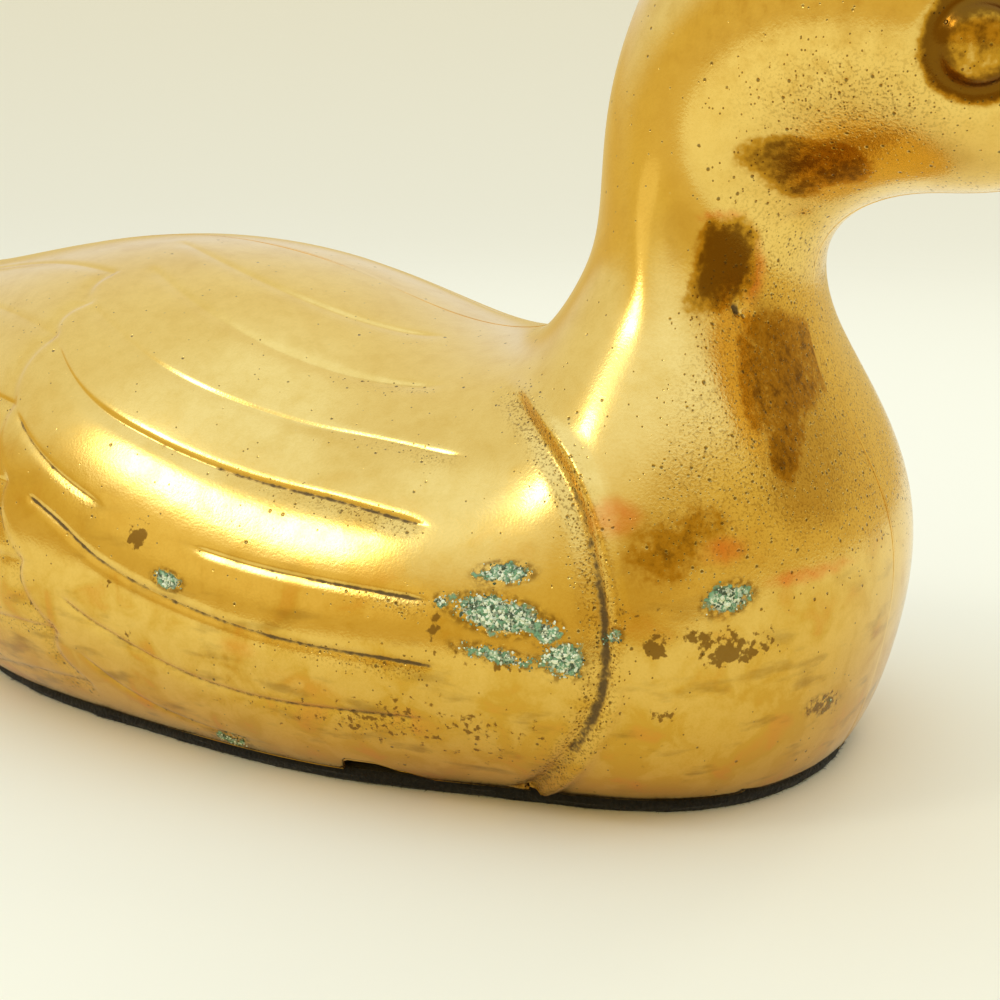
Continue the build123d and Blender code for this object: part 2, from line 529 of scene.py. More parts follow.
@dataclass(frozen=True)
class Patch:
    """A blot on the skin round a point of the right side.

    Long and high are its half sizes and lean turns it. Crisp is how sudden its edge is, and square how square
    its corners are: 2 is an ellipse.
    """

    x: float
    z: float
    long: float
    high: float
    strength: float
    lean: float = 0.0
    crisp: float = 1.5
    square: float = 2.0


# The eye's middle, as a station and a turn, and the radii of its ring groove and of its domed pupil
EYE = (16.26, 0.557)
EYE_RING = 3.7 * MM
EYE_PUPIL = 3.1 * MM

THROAT_AND_PIN = (
    Dimple(13.33, 0.838, 1.3 * MM, 0.30 * MM, 0.35),
    Dimple(12.33, 0.724, 0.75 * MM, 1.0 * MM, 1.0),
)

CRUSTS = (
    Patch(22.8 * MM, 19.7 * MM, 3.6 * MM, 1.4 * MM, 1.0, -0.12),
    Patch(27.0 * MM, 18.6 * MM, 1.2 * MM, 1.2 * MM, 0.7),
    Patch(22.7 * MM, 22.8 * MM, 2.3 * MM, 0.8 * MM, 0.9, 0.1),
    Patch(28.4 * MM, 16.5 * MM, 1.7 * MM, 1.5 * MM, 0.9, -0.3),
    Patch(23.2 * MM, 16.5 * MM, 3.8 * MM, 0.7 * MM, 0.62, -0.14),
    Patch(18.0 * MM, 20.3 * MM, 0.7 * MM, 0.7 * MM, 0.55),
    Patch(-8.6 * MM, 18.9 * MM, 1.6 * MM, 0.8 * MM, 0.85, -0.15),
    Patch(39.2 * MM, 21.2 * MM, 1.5 * MM, 1.2 * MM, 0.9, 0.4),
    Patch(31.9 * MM, 18.5 * MM, 0.7 * MM, 0.8 * MM, 0.7),
    Patch(-5.9 * MM, 2.8 * MM, 2.2 * MM, 1.0 * MM, 0.6, 0.1),
    Patch(44.0 * MM, 9.6 * MM, 0.7 * MM, 1.1 * MM, 0.35),
)

# Thin brown spots and specks
STAINS = (
    Patch(-12.6 * MM, 22.4 * MM, 1.5 * MM, 1.6 * MM, 0.75),
    Patch(34.8 * MM, 17.5 * MM, 1.2 * MM, 0.8 * MM, 0.9, -0.8),
    Patch(37.6 * MM, 18.2 * MM, 3.8 * MM, 1.0 * MM, 0.72, -0.1),
    Patch(39.8 * MM, 16.8 * MM, 2.6 * MM, 1.5 * MM, 0.78, 0.3),
    Patch(34.6 * MM, 20.4 * MM, 3.0 * MM, 0.6 * MM, 0.5),
    Patch(35.6 * MM, 11.8 * MM, 1.2 * MM, 1.0 * MM, 0.5),
    Patch(-15.5 * MM, 17.6 * MM, 0.8 * MM, 0.9 * MM, 0.5),
    Patch(-13.4 * MM, 13.4 * MM, 0.6 * MM, 0.7 * MM, 0.7),
    Patch(44.0 * MM, 9.6 * MM, 0.8 * MM, 1.5 * MM, 0.7),
    Patch(17.6 * MM, 18.6 * MM, 0.8 * MM, 2.0 * MM, 0.55),
    Patch(22.5 * MM, 16.0 * MM, 5.4 * MM, 1.1 * MM, 0.5, -0.14),
    Patch(14.0 * MM, 9.0 * MM, 20.0 * MM, 3.5 * MM, 0.40),
)

# Brown marks: real tarnish on the neck, and painted dark reflections down the breast's edge, under the cheek
# and between the breast's copper blushes
PAINTED_SHADE_AND_TARNISH = (
    Patch(33.8 * MM, 47.0 * MM, 1.95 * MM, 3.9 * MM, 1.0, -0.06, 2.0, 3.0),
    # The next six are painted dark reflections: two down the breast's edge, two under the cheek, two on the
    # breast
    Patch(38.0 * MM, 38.2 * MM, 1.45 * MM, 5.2 * MM, 0.52, 0.357, 6.0, 3.0),
    Patch(40.4 * MM, 32.4 * MM, 0.70 * MM, 3.4 * MM, 0.52, 0.357, 4.0),
    Patch(40.2 * MM, 55.6 * MM, 5.8 * MM, 2.2 * MM, 0.66, -0.05, 4.0),
    Patch(38.8 * MM, 54.2 * MM, 2.6 * MM, 1.9 * MM, 0.64, -0.1, 4.0),
    Patch(34.6 * MM, 25.0 * MM, 3.2 * MM, 3.0 * MM, 0.52),
    Patch(36.4 * MM, 27.2 * MM, 2.6 * MM, 2.2 * MM, 0.42),
    Patch(-2.0 * MM, 12.0 * MM, 6.0 * MM, 3.0 * MM, 0.25),
    Patch(41.0 * MM, 65.0 * MM, 17.0 * MM, 12.0 * MM, 0.20, 0.0, 1.2),
)

BLUSHES = (
    Patch(30.6 * MM, 27.6 * MM, 2.3 * MM, 1.8 * MM, 0.62),
    Patch(38.4 * MM, 25.0 * MM, 1.8 * MM, 1.4 * MM, 0.58),
    Patch(43.4 * MM, 22.2 * MM, 2.4 * MM, 0.8 * MM, 0.62),
    Patch(-1.0 * MM, 14.0 * MM, 2.8 * MM, 1.2 * MM, 0.35),
    Patch(6.0 * MM, 11.5 * MM, 5.0 * MM, 1.5 * MM, 0.3, -0.1),
    Patch(35.6 * MM, 46.8 * MM, 0.7 * MM, 3.6 * MM, 0.7, 0.06),
    Patch(33.6 * MM, 50.9 * MM, 1.8 * MM, 0.6 * MM, 0.7),
)


class Relief:
    """What is carved in the skin of one side, and where dirt and painted shade lie in it."""

    cut = CarvingSizes()

    def __init__(self, figure: Figure, side: Side) -> None:
        """Sets out the lines and hollows.

        Args:
            figure: The smooth outer skin.
            side: The half that is carved.
        """
        self.figure, self.side = figure, side
        self.lines = [*FEATHER_LINES, *self._tail_lines(), self._wing_edge(), BREAST_RIDGE, *BILL_LINES]
        self.eye = figure.point(EYE[0], EYE[1] * math.pi)

    def _tail_lines(self) -> list[CarvedLine]:
        """Grooves that run from the wing's edge to the tail."""
        return [
            CarvedLine(
                Cut.FEATHER, stops, 0.20 * MM, 1.0 * MM,
                sharp=0.3 * MM, fade=(4.0 * MM, 0.3 * MM), grime_and_shade=(0.0, 0.05 + 0.1 * number),
            )
            for number, stops in enumerate(TAIL_LINES)
        ]

    def _wing_edge(self) -> CarvedLine:
        """The scalloped rear edge of the folded wing.

        Returns:
            The line.
        """
        stops = []
        for (station, turn), (next_station, next_turn) in zip(WING_NODES, WING_NODES[1:]):
            for share in TIP_SHARES:
                bulge = TIP_BULGE * 4 * share * (1 - share)
                ahead = share * (next_station - station)
                stops.append((station + ahead - bulge, turn + share * (next_turn - turn)))
        stops.append(WING_NODES[-1])
        return CarvedLine(
            Cut.FEATHER, tuple(stops), 0.20 * MM, 1.2 * MM,
            sharp=0.4 * MM, grime_and_shade=(0.0, 0.25, 0.6, 0.5),
        )

    @staticmethod
    def _nearest(points: Array, path: Array) -> tuple[Array, Array, Array]:
        """Nearest places on a path.

        Args:
            points: Points to look from.
            path: Points along the line.

        Returns:
            The offsets from the nearest places, the share of the way along, and the headings there.
        """
        best = np.full(len(points), np.inf)
        offset, way, heading = np.zeros_like(points), np.zeros(len(points)), np.zeros_like(points)
        lengths = np.linalg.norm(np.diff(path, axis=0), axis=1)
        marks = np.r_[0, np.cumsum(lengths)]
        for i, (start, end) in enumerate(zip(path, path[1:])):
            run = end - start
            share = np.clip((points - start) @ run / (run @ run), 0, 1)
            gap = points - start - share[:, None] * run
            far = (gap**2).sum(1)
            closer = far < best
            best[closer] = far[closer]
            offset[closer] = gap[closer]
            way[closer] = marks[i] + share[closer] * lengths[i]
            heading[closer] = run / lengths[i]
        return offset, way, heading

    @staticmethod
    def _bump(across: Array, middle: float, wide: float) -> Array:
        """A smooth bump of height 1 round a middle."""
        return np.exp(-(((across - middle) / wide) ** 2))

    def _strength(self, line: CarvedLine, way: Array, total: float) -> Array:
        """How strongly a line cuts along its way: it fades in and out.

        Args:
            line: The line.
            way: How far along it the places are.
            total: Its length.

        Returns:
            Strengths from 0 to 1.
        """
        fade_in, fade_out = line.fade
        head_start = self.cut.head_start
        start = smooth(0, fade_in, way + fade_in * head_start)
        return start * smooth(0, fade_out, total - way + fade_out * head_start)

    def _carve(
        self, line: CarvedLine, points: Array, normals: Array, height: Array, recess: Array, pits: Array
    ) -> None:
        """Adds one line to the height, and to the dirt and painted shade of the points near it.

        Args:
            line: The line.
            points: Points of the smooth skin.
            normals: Outward normals there.
            height: Heights of the carving, which the line changes.
            recess: Dirt and painted shade in the grooves, which the line adds to.
            pits: Density of the pits, which the line adds to; a band of them beside the line adds painted
                shade.
        """
        cut = self.cut
        path = line.path(self.figure)
        reach = cut.reach * max(line.wide, line.sharp)
        near = np.all((points > path.min(0) - reach) & (points < path.max(0) + reach), axis=1)
        if not near.any():
            return
        offset, way, heading = self._nearest(points[near], path)
        total = np.linalg.norm(np.diff(path, axis=0), axis=1).sum()
        across = np.einsum("ij,ij->i", np.cross(heading, normals[near]), offset)
        past = np.sqrt(np.maximum((offset**2).sum(1) - across**2, 0))
        share = way / total
        strength = self._strength(line, way, total) * self._bump(past, 0.0, cut.end_spread)
        grime_and_shade = np.interp(share, np.linspace(0, 1, len(line.grime_and_shade)), line.grime_and_shade)
        if line.cut is Cut.RIDGE:
            rim = self._bump(across, cut.rim_shift, line.sharp)
            groove = self._bump(across, cut.groove_shift, line.wide)
            height[near] += strength * (cut.rim_high * rim - line.depth * groove)
            # Dirt and painted shade behind the rim, with pits beside it as painted shade
            narrow = self._bump(across, cut.rim_dirt_and_shade_shift, cut.rim_dirt_and_shade_wide)
            recess[near] = np.maximum(recess[near], strength * grime_and_shade * narrow)
            band = self._bump(across, cut.rim_pits_shift, cut.rim_pits_wide)
            pits[near] = np.maximum(pits[near], strength * band)
            return
        wide = np.where(across > 0, line.sharp, line.wide)
        if line.cut is Cut.CREASE:
            wide = np.full(len(across), line.wide)
        shape = np.exp(-((np.abs(across) / wide) ** cut.flank_power))
        height[near] -= strength * line.depth * shape
        # Dirt and painted shade in the groove, with pits beside it as painted shade
        narrow = self._bump(across, cut.dirt_and_shade_shift, cut.dirt_and_shade_wide)
        recess[near] = np.maximum(recess[near], strength * grime_and_shade * narrow)
        band = self._bump(across, cut.pits_shift, cut.pits_wide) * smooth(*cut.pits_along, share)
        pits[near] = np.maximum(pits[near], strength * grime_and_shade * cut.pits_share * band)

    def _eye(self, points: Array, height: Array) -> Array:
        """Adds the eye to the height, a ring groove round a domed pupil, and returns its painted shade and
        tarnish.

        Args:
            points: Points of the skin.
            height: Heights of the carving, which the eye changes.

        Returns:
            Painted shade in the ring groove, and tarnish on the pupil, as one strength.
        """
        cut = self.cut
        far = np.linalg.norm(points - self.eye, axis=1)
        dome = np.maximum(1 - (far / EYE_PUPIL) ** 2, 0)
        height += cut.pupil_high * dome - cut.ring_deep * self._bump(far, EYE_RING, cut.ring_wide)
        inside = smooth(EYE_RING, cut.pupil_share * EYE_RING, far)
        # Painted shade in the ring groove
        ring = self._bump(far, EYE_RING, cut.ring_shade_wide)
        return cut.ring_shade * ring + cut.pupil_tarnish * inside

    def apply(self, points: Array, normals: Array) -> tuple[Array, dict[str, Array]]:
        """Height of the carving, and the dirt and painted shade, at points of the smooth skin.

        Args:
            points: Points of the skin, y positive.
            normals: Outward normals there.

        Returns:
            Heights along the normals, and a value for each kind of mark.
        """
        count = len(points)
        height, recess, pits = np.zeros(count), np.zeros(count), np.zeros(count)
        for line in self.lines:
            self._carve(line, points, normals, height, recess, pits)
        eye = self._eye(points, height)
        hole = np.zeros(count)
        if self.side is Side.RIGHT:
            for dimple in THROAT_AND_PIN:
                centre = self.figure.point(dimple.station, dimple.turn_share * math.pi)
                far = np.linalg.norm((points - centre) * self.cut.dimple_stretch, axis=1) / dimple.radius
                height -= dimple.depth * np.exp(-(far**2))
                # Painted shade in the pin hole and the throat dimple
                hole = np.maximum(hole, dimple.grime_and_shade * np.exp(-(far**4)))
        height += self._waves(points)
        marks = {"recess": recess, "pitting": np.maximum(pits, self._fine_pits(points)), "hole": hole}
        marks["stain"] = self._blots(points, STAINS)
        marks["crust"] = self._blots(points, CRUSTS)
        marks["blush"] = self._blots(points, BLUSHES)
        # Tarnish, with the eye's painted shade and the patches' painted dark reflections
        marks["tarnish"] = np.maximum(eye, self._blots(points, PAINTED_SHADE_AND_TARNISH))
        return height, marks

    def _fine_pits(self, points: Array) -> Array:
        """Density of the fine pits on the breast and on the cheek.

        Args:
            points: Points of the skin.

        Returns:
            Densities from 0 to 1.
        """
        cut = self.cut
        x, z = points[:, 0], points[:, 2]
        breast = smooth(*cut.breast_front, x) * smooth(*cut.breast_top, z) * smooth(*cut.breast_low, z)
        far = (points[:, (0, 2)] - cut.cheek) / cut.cheek_wide
        return np.maximum(cut.breast_pits * breast, cut.cheek_pits * np.exp(-(far**2).sum(1)))

    def _waves(self, points: Array) -> Array:
        """The slight waviness of a hand-finished casting.

        Args:
            points: Points of the skin.

        Returns:
            Heights.
        """
        phase = 0.0 if self.side is Side.RIGHT else 1.7
        x, y, z = (points / self.cut.wave_long).T
        wave = np.sin(x * 1.1 + 2.1 * np.sin(z * 0.7 + phase))
        wave *= np.sin(z * 1.3 + 1.2 * np.sin(y * 0.9 + phase))
        wave += 0.5 * np.sin(x * 2.3 + y * 1.7 + phase) * np.sin(z * 2.1 - x * 0.6)
        return self.cut.wave_high * wave

    def _blots(self, points: Array, patches: Iterable[Patch]) -> Array:
        """How strongly the patches mark the points; they lie on the right side only.

        Args:
            points: Points of the skin.
            patches: The patches.

        Returns:
            Strengths from 0 to 1.
        """
        found = np.zeros(len(points))
        if self.side is Side.LEFT:
            return found
        for patch in patches:
            x, z = points[:, 0] - patch.x, points[:, 2] - patch.z
            along = x * math.cos(patch.lean) + z * math.sin(patch.lean)
            over = z * math.cos(patch.lean) - x * math.sin(patch.lean)
            far = np.abs(along / patch.long) ** patch.square + np.abs(over / patch.high) ** patch.square
            far = far ** (2 / patch.square)
            outer = points[:, 1] > self.cut.marked_from
            found = np.maximum(found, patch.strength * np.exp(-(far**patch.crisp)) * outer)
        return found


class Piece:
    """Helper for new objects that ride on the duck."""

    @staticmethod
    def make(
        name: str, points: Array, faces: Sequence[Sequence[int]], sharp: float = 40.0
    ) -> bpy.types.Object:
        """Makes a mesh object with outward normals and smooth shading.

        Args:
            name: The piece's name.
            points: Its vertices.
            faces: Its faces.
            sharp: Angle in degrees above which an edge stays crisp.

        Returns:
            The object, linked to the scene.
        """
        mesh = bpy.data.meshes.new(name)
        mesh.from_pydata(np.asarray(points).tolist(), [], [list(face) for face in faces])
        work = bmesh.new()
        work.from_mesh(mesh)
        bmesh.ops.recalc_face_normals(work, faces=work.faces)
        work.to_mesh(mesh)
        work.free()
        mesh.polygons.foreach_set("use_smooth", np.ones(len(mesh.polygons), bool))
        mesh.set_sharp_from_angle(angle=math.radians(sharp))
        piece = bpy.data.objects.new(name, mesh)
        bpy.context.scene.collection.objects.link(piece)
        return piece

    @staticmethod
    def mark(piece: bpy.types.Object, values: dict[str, Array]) -> None:
        """Stores one value per vertex under each name.

        Args:
            piece: The piece.
            values: A value per vertex under each name.
        """
        for name, value in values.items():
            attribute = piece.data.attributes.new(name, "FLOAT", "POINT")
            attribute.data.foreach_set("value", np.asarray(value, np.float32))

    @staticmethod
    def mount(piece: bpy.types.Object, slot: str, *nodes: str) -> None:
        """Lets a piece ride on the duck and stand for its solids.

        Args:
            piece: The piece.
            slot: Its material slot; not used.
            nodes: The solids that it stands for.
        """
        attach(piece, BODY)
        if nodes:
            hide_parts(*nodes)
        LOG.info("%s: %d faces", piece.name, len(piece.data.polygons))


def zip_loops(outer: list[tuple[float, int]], inner: list[tuple[float, int]]) -> list[tuple[int, int, int]]:
    """Triangles between two loops whose keys rise alike.

    Args:
        outer: Keys and vertices of one loop, its first vertex repeated at the end.
        inner: The same for the other loop.

    Returns:
        The triangles.
    """
    faces = []
    i = j = 0
    while i < len(outer) - 1 or j < len(inner) - 1:
        at_end = j == len(inner) - 1
        if at_end or (i < len(outer) - 1 and outer[i + 1][0] <= inner[j + 1][0]):
            faces.append((outer[i][1], outer[i + 1][1], inner[j][1]))
            i += 1
        else:
            faces.append((outer[i][1], inner[j + 1][1], inner[j][1]))
            j += 1
    return faces


def edge_keys(stretch: int, stations: Array, margin: float = 0.0) -> Array:
    """Keys that match the stations of an outer edge with those of an inner one.

    Args:
        stretch: 0 from the rim to the bill, 1 over the back, 2 from the tail to the rim, 3 at the rim.
        stations: Stations along it.
        margin: How far the keys stay clear of whole numbers.

    Returns:
        Keys from stretch to stretch + 1.
    """
    begin, end = EDGE_MARKS[stretch]
    share = np.clip((np.asarray(stations, float) - begin) / (end - begin), 0, 1)
    return stretch + margin + share * (1 - 3 * margin)


def round_tips(points: Array, centres: Array, sizes: DuckSizes) -> Array:
    """Rounds the blunt ends of the tail and the bill.

    Args:
        points: Points with x first along the last axis.
        centres: The middles of their sections, which broadcast with them.
        sizes: The duck's sizes.

    Returns:
        The points, drawn towards the middles close to both ends.
    """
    depth = np.clip((sizes.length / 2 - np.abs(points[..., 0])) / sizes.tip_round, 0, 1)
    keep = np.maximum(np.sqrt(1 - (1 - depth) ** 2), TIP_LEAST)
    rounded = centres + (points - centres) * keep[..., None]
    rounded[..., 0] = points[..., 0]
    return rounded


@dataclass
class Skin:
    """A grid of points on a skin: columns are stations, rows are turns, and both ends close to a point."""

    points: Array
    stations: Array
    row_count: int
    rim_first: int
    rim_last: int

    @property
    def column_count(self) -> int:
        """How many columns the grid has."""
        return len(self.stations)

    def index(self, column: int, row: int) -> int:
        """Number of a vertex. The two end points come after the grid.

        Args:
            column: Column, or one beyond either end for an end point.
            row: Row.

        Returns:
            The number.
        """
        if column < 0:
            return self.column_count * self.row_count
        if column >= self.column_count:
            return self.column_count * self.row_count + 1
        return column * self.row_count + row

    def faces(self) -> list[tuple[int, ...]]:
        """Faces of the grid and of its two closed ends.

        Returns:
            The faces.
        """
        found: list[tuple[int, ...]] = []
        for column in range(-1, self.column_count):
            for row in range(self.row_count - 1):
                corners = (
                    self.index(column, row), self.index(column + 1, row),
                    self.index(column + 1, row + 1), self.index(column, row + 1),
                )
                found.append(tuple(dict.fromkeys(corners)))
        return found

    def loop(self, margin: float = 0.0) -> list[tuple[float, int]]:
        """The grid's edge as keys and vertices: belly to the bill, back, belly from the tail, then the rim.

        Args:
            margin: How far the keys stay clear of whole numbers.

        Returns:
            The keyed vertices, the first one repeated at the end.
        """
        last = self.row_count - 1
        stretches = (
            (range(self.rim_last, self.column_count), last),
            (range(self.column_count - 1, -1, -1), 0),
            (range(self.rim_first), last),
            (range(self.rim_first, self.rim_last), last),
        )
        tips = {1: self.column_count, 2: -1}
        keyed = []
        for number, (columns, row) in enumerate(stretches):
            if number in tips:
                keyed.append((number - margin, self.index(tips[number], 0)))
            keys = edge_keys(number, self.stations[list(columns)], margin)
            keyed += [(key, self.index(column, row)) for key, column in zip(keys, columns)]
        return [*keyed, (float(len(stretches)), keyed[0][1])]


@dataclass
class CrustGrains:
    """Small lumps of green and white crust that stand on the skin."""

    points: Array
    normals: Array
    strength: Array
    seed: int = 11
    count: int = 1500
    least_strength: float = 0.3
    radii: tuple[float, float] = (0.07 * MM, 0.27 * MM)
    small_bias: float = 2.5
    # How uneven a grain's surface is, and how much its three half sizes differ
    dents: tuple[float, float] = (0.65, 1.2)
    stretch: tuple[float, float] = (0.7, 1.25)
    squash: float = 0.45
    proud: float = 0.2
    drift: float = 0.16 * MM
    darkest: float = 0.2
    dark_bias: float = 1.4

    def build(self, start: int) -> tuple[Array, list[tuple[int, ...]], Array]:
        """Makes the lumps.

        Args:
            start: Number of their first vertex.

        Returns:
            Their vertices, their faces and a tone per vertex, from dark green at the lowest to white at 1.
        """
        chance = np.where(self.strength > self.least_strength, self.strength**2, 0)
        if not chance.any():
            return np.zeros((0, 3)), [], np.zeros(0)
        random = np.random.default_rng(self.seed)
        chosen = random.choice(len(chance), self.count, p=chance / chance.sum())
        work = bmesh.new()
        bmesh.ops.create_icosphere(work, subdivisions=1, radius=1)
        ball = np.array([vertex.co for vertex in work.verts])
        ball_faces = np.array([[vertex.index for vertex in face.verts] for face in work.faces])
        work.free()
        points, faces, tones = [], [], []
        for number, spot in enumerate(chosen):
            normal = self.normals[spot]
            least, most = self.radii
            radius = least + (most - least) * random.random() ** self.small_bias * self.strength[spot]
            lump = ball * random.uniform(*self.dents, (len(ball), 1)) * random.uniform(*self.stretch, 3)
            lump -= self.squash * (lump @ normal)[:, None] * normal
            drift = random.standard_normal(3) * self.drift
            drift -= (drift @ normal) * normal
            points.append(self.points[spot] + drift + normal * self.proud * radius + lump * radius)
            faces += [tuple(face) for face in (ball_faces + start + number * len(ball)).tolist()]
            tone = self.darkest + (1 - self.darkest) * random.random() ** self.dark_bias
            tones.append(np.full(len(ball), tone))
        return np.vstack(points), faces, np.concatenate(tones)


@dataclass(frozen=True)
class GridSizes:
    """How the points of a half shell are spaced: rows lie in bundles along the feather lines."""

    # Places of a bundle's rows across its line, in millimetres, and how much of the room it may fill
    feather_rows: tuple[float, ...] = (-1.4, -0.95, -0.6, -0.35, -0.15, 0.0, 0.12, 0.28, 0.55, 0.95)
    bundle_room: float = 0.42
    fill_rows: int = 7
    top_rows: int = 6
    low_rows: int = 30
    # The lowest that a line may lie, as a share of the way from the back to the rim
    lowest_line: float = 0.93
    # How far a tail line stops short of the wing's line, in stations
    tail_gap: float = 0.02
    # Stations where the lines fade out towards the tail, and the shares of a half turn that follow
    tail_fade: tuple[float, float] = (3.0, 1.5)
    tail_turns: tuple[float, float] = (0.06, 0.72)
    # Stations where the bundles give way to even rows
    plain_tail: tuple[float, float] = (1.8, 0.8)
    plain_head: tuple[float, float] = (9.9, 12.5)
    # How much closer the even rows lie at the eye, and how far that reaches
    eye_crowd: float = 1.5
    eye_reach: float = 0.11
    # Stretches of the fan with the spacing of the columns there, in millimetres
    column_steps: tuple[tuple[float, float], ...] = (
        (0.0, 0.9), (4.75, 0.33), (5.95, 0.62), (7.70, 0.30), (9.80, 0.75), (14.9, 0.36), (17.6, 0.55),
        (LAST_SECTION, 0.5),
    )
    # Columns near the rim's two ends and near the tips, in stations
    rim_end_steps: tuple[float, ...] = (0.0, 0.002, 0.008, 0.02, 0.04, 0.07)
    tip_steps: tuple[float, ...] = (0.009, 0.027, 0.054, 0.09, 0.135)
    bill_stretch: float = 1.6
    inner_columns: int = 90
    inner_rows: int = 34


@dataclass
class HalfShell:
    """One half of the casting, with its carved outside and its plain inside."""

    grid = GridSizes()

    sizes: DuckSizes
    side: Side
    edge_round: float = 0.5 * MM
    edge_bevel: float = 0.22 * MM
    # The chip in the right side's rim, the tongue that is left in it, and the nicks beside it, in stations
    chip: tuple[tuple[float, float], ...] = ((7.10, 7.22), (7.62, 7.52))
    chip_high: float = 2.0 * MM
    tongue: tuple[tuple[float, float], ...] = ((7.40, 7.50), (7.62, 7.55))
    tongue_share: float = 0.45
    nicks: tuple[tuple[float, float], ...] = ((8.12, 0.9 * MM), (9.02, 0.5 * MM))
    nick_wide: float = 0.03
    outer: Figure = field(init=False)
    inner: Figure = field(init=False)
    relief: Relief = field(init=False)
    grains: CrustGrains = field(init=False)

    def __post_init__(self) -> None:
        """Makes the two skins and the carving."""
        self.outer = Figure(self.sizes)
        self.inner = Figure(self.sizes, self.sizes.wall, HOLLOW_FIRST, HOLLOW_LAST)
        self.relief = Relief(self.outer, self.side)

    def _columns(self) -> Array:
        """Stations of the columns: closer where the carving is fine and where the rim ends.

        Returns:
            The stations, in rising order.
        """
        way = self.outer.way
        stations = [np.zeros(1)]
        for (start, step), (end, _) in zip(self.grid.column_steps, self.grid.column_steps[1:]):
            begin, finish = np.interp((start, end), np.arange(len(way)), way)
            count = max(2, round((finish - begin) / (step * MM)))
            marks = np.linspace(begin, finish, count + 1)[1:]
            stations.append(np.interp(marks, way, np.arange(len(way))))
        along_rim, _ = self.outer.rim_line()
        for end, inward in ((along_rim[0], 1), (along_rim[-1], -1)):
            stations.append(end + inward * np.array(self.grid.rim_end_steps))
        return np.unique(np.round(np.concatenate(stations), 5))

    def _rim_height(self, stations: Array) -> Array:
        """Height of the casting's lower edge: level, but chipped and nicked on the right side.

        Args:
            stations: Stations along the rim.

        Returns:
            The heights there.
        """
        height = np.full(len(stations), self.sizes.rim)
        if self.side is Side.RIGHT:
            chip, tongue = window(*self.chip, stations), window(*self.tongue, stations)
            height += chip * self.chip_high * (1 - self.tongue_share * tongue)
            for station, high in self.nicks:
                height += high * np.exp(-(((stations - station) / self.nick_wide) ** 2))
        return height

    def _line_turns(self, stations: Array) -> Array:
        """Turns of the rows' guide lines at each station, one column for each feather line.

        Args:
            stations: Stations of the columns.

        Returns:
            The turns, one row for each station.
        """
        # Wing lines, and the tail line that each one runs on into
        tails = (None, TAIL_LINES[0], None, *TAIL_LINES[1:6])
        wings = [number for number in range(len(FEATHER_LINES)) if number != FIFTH_FRONT]
        guides = []
        for tail, wing in zip(tails, wings):
            places = FEATHER_LINES[wing].places()
            if wing == FIFTH_REAR:
                places = np.vstack([places, FEATHER_LINES[FIFTH_FRONT].places()])
            if tail is not None:
                tail_places = CarvedLine(Cut.FEATHER, tail, 0, MM).places()
                tail_places = tail_places[tail_places[:, 0] < places[0, 0] - self.grid.tail_gap]
                places = np.vstack([tail_places, places])
            guides.append(np.interp(stations, places[:, 0], places[:, 1]) * math.pi)
        guides = np.array(guides).T
        rear = smooth(*self.grid.tail_fade, stations)[:, None]
        even = np.linspace(*self.grid.tail_turns, guides.shape[1]) * math.pi
        return guides * (1 - rear) + even * rear

    def _rows(self, stations: Array) -> Array:
        """Turns of the rows at each station, from the back to the belly or the rim.

        Args:
            stations: Stations of the columns.

        Returns:
            The turns, one row for each station.
        """
        grid = self.grid
        low_end = self.outer.turn_at_height(stations, self._rim_height(stations))
        guides = np.minimum(self._line_turns(stations), grid.lowest_line * low_end[:, None])
        step = 1e-3
        below, above = (self.outer.point(stations[:, None], guides + way) for way in (step, -step))
        pace = np.linalg.norm(below - above, axis=-1) / (2 * step)
        gaps = np.diff(np.c_[np.zeros(len(stations)), guides, low_end], axis=1)
        room = np.minimum(gaps[:, :-1], gaps[:, 1:]) * pace
        widest = max(abs(min(grid.feather_rows)), max(grid.feather_rows)) * MM
        scale = np.minimum(1, grid.bundle_room * room / widest)
        bundles = guides[..., None] + np.array(grid.feather_rows) * -MM * scale[..., None] / pace[..., None]
        bundles = np.sort(bundles, axis=-1)
        rows = [np.linspace(0, 1, grid.top_rows, endpoint=False)[None] * bundles[:, 0, :1]]
        for number in range(bundles.shape[1]):
            rows.append(bundles[:, number])
            start = bundles[:, number, -1:]
            last = number == bundles.shape[1] - 1
            end = low_end[:, None] if last else bundles[:, number + 1, :1]
            count = grid.low_rows if last else grid.fill_rows
            shares = np.linspace(0, 1, count + 2)[1:] if last else np.linspace(0, 1, count + 2)[1:-1]
            rows.append(start + shares * (end - start))
        carved = np.concatenate(rows, axis=1)
        marks = np.linspace(0, 1, 2001)
        crowd = np.cumsum(1 + grid.eye_crowd * np.exp(-(((marks - EYE[1]) / grid.eye_reach) ** 2)))
        shares = np.interp(np.linspace(crowd[0], crowd[-1], carved.shape[1]), crowd, marks)
        even = shares * low_end[:, None]
        plain = np.maximum(smooth(*grid.plain_tail, stations), smooth(*grid.plain_head, stations))[:, None]
        return carved * (1 - plain) + even * plain

    def _tip_stations(self, stations: Array) -> Array:
        """Adds columns close to both ends, where the tips are rounded."""
        near = np.array(self.grid.tip_steps)
        return np.unique(np.round(np.r_[stations, near, LAST_SECTION - near * self.grid.bill_stretch], 5))

    def outer_skin(self) -> tuple[Skin, dict[str, Array]]:
        """The carved outside.

        Returns:
            The skin with y positive, and its marks.
        """
        stations = self._tip_stations(self._columns())
        turns = self._rows(stations)
        places = np.broadcast_to(stations[:, None], turns.shape)
        base = self.outer.point(places, turns)
        normals = self.outer.normal(places, turns)
        flat, flat_normals = base.reshape(-1, 3), normals.reshape(-1, 3)
        height, marks = self.relief.apply(flat, flat_normals)
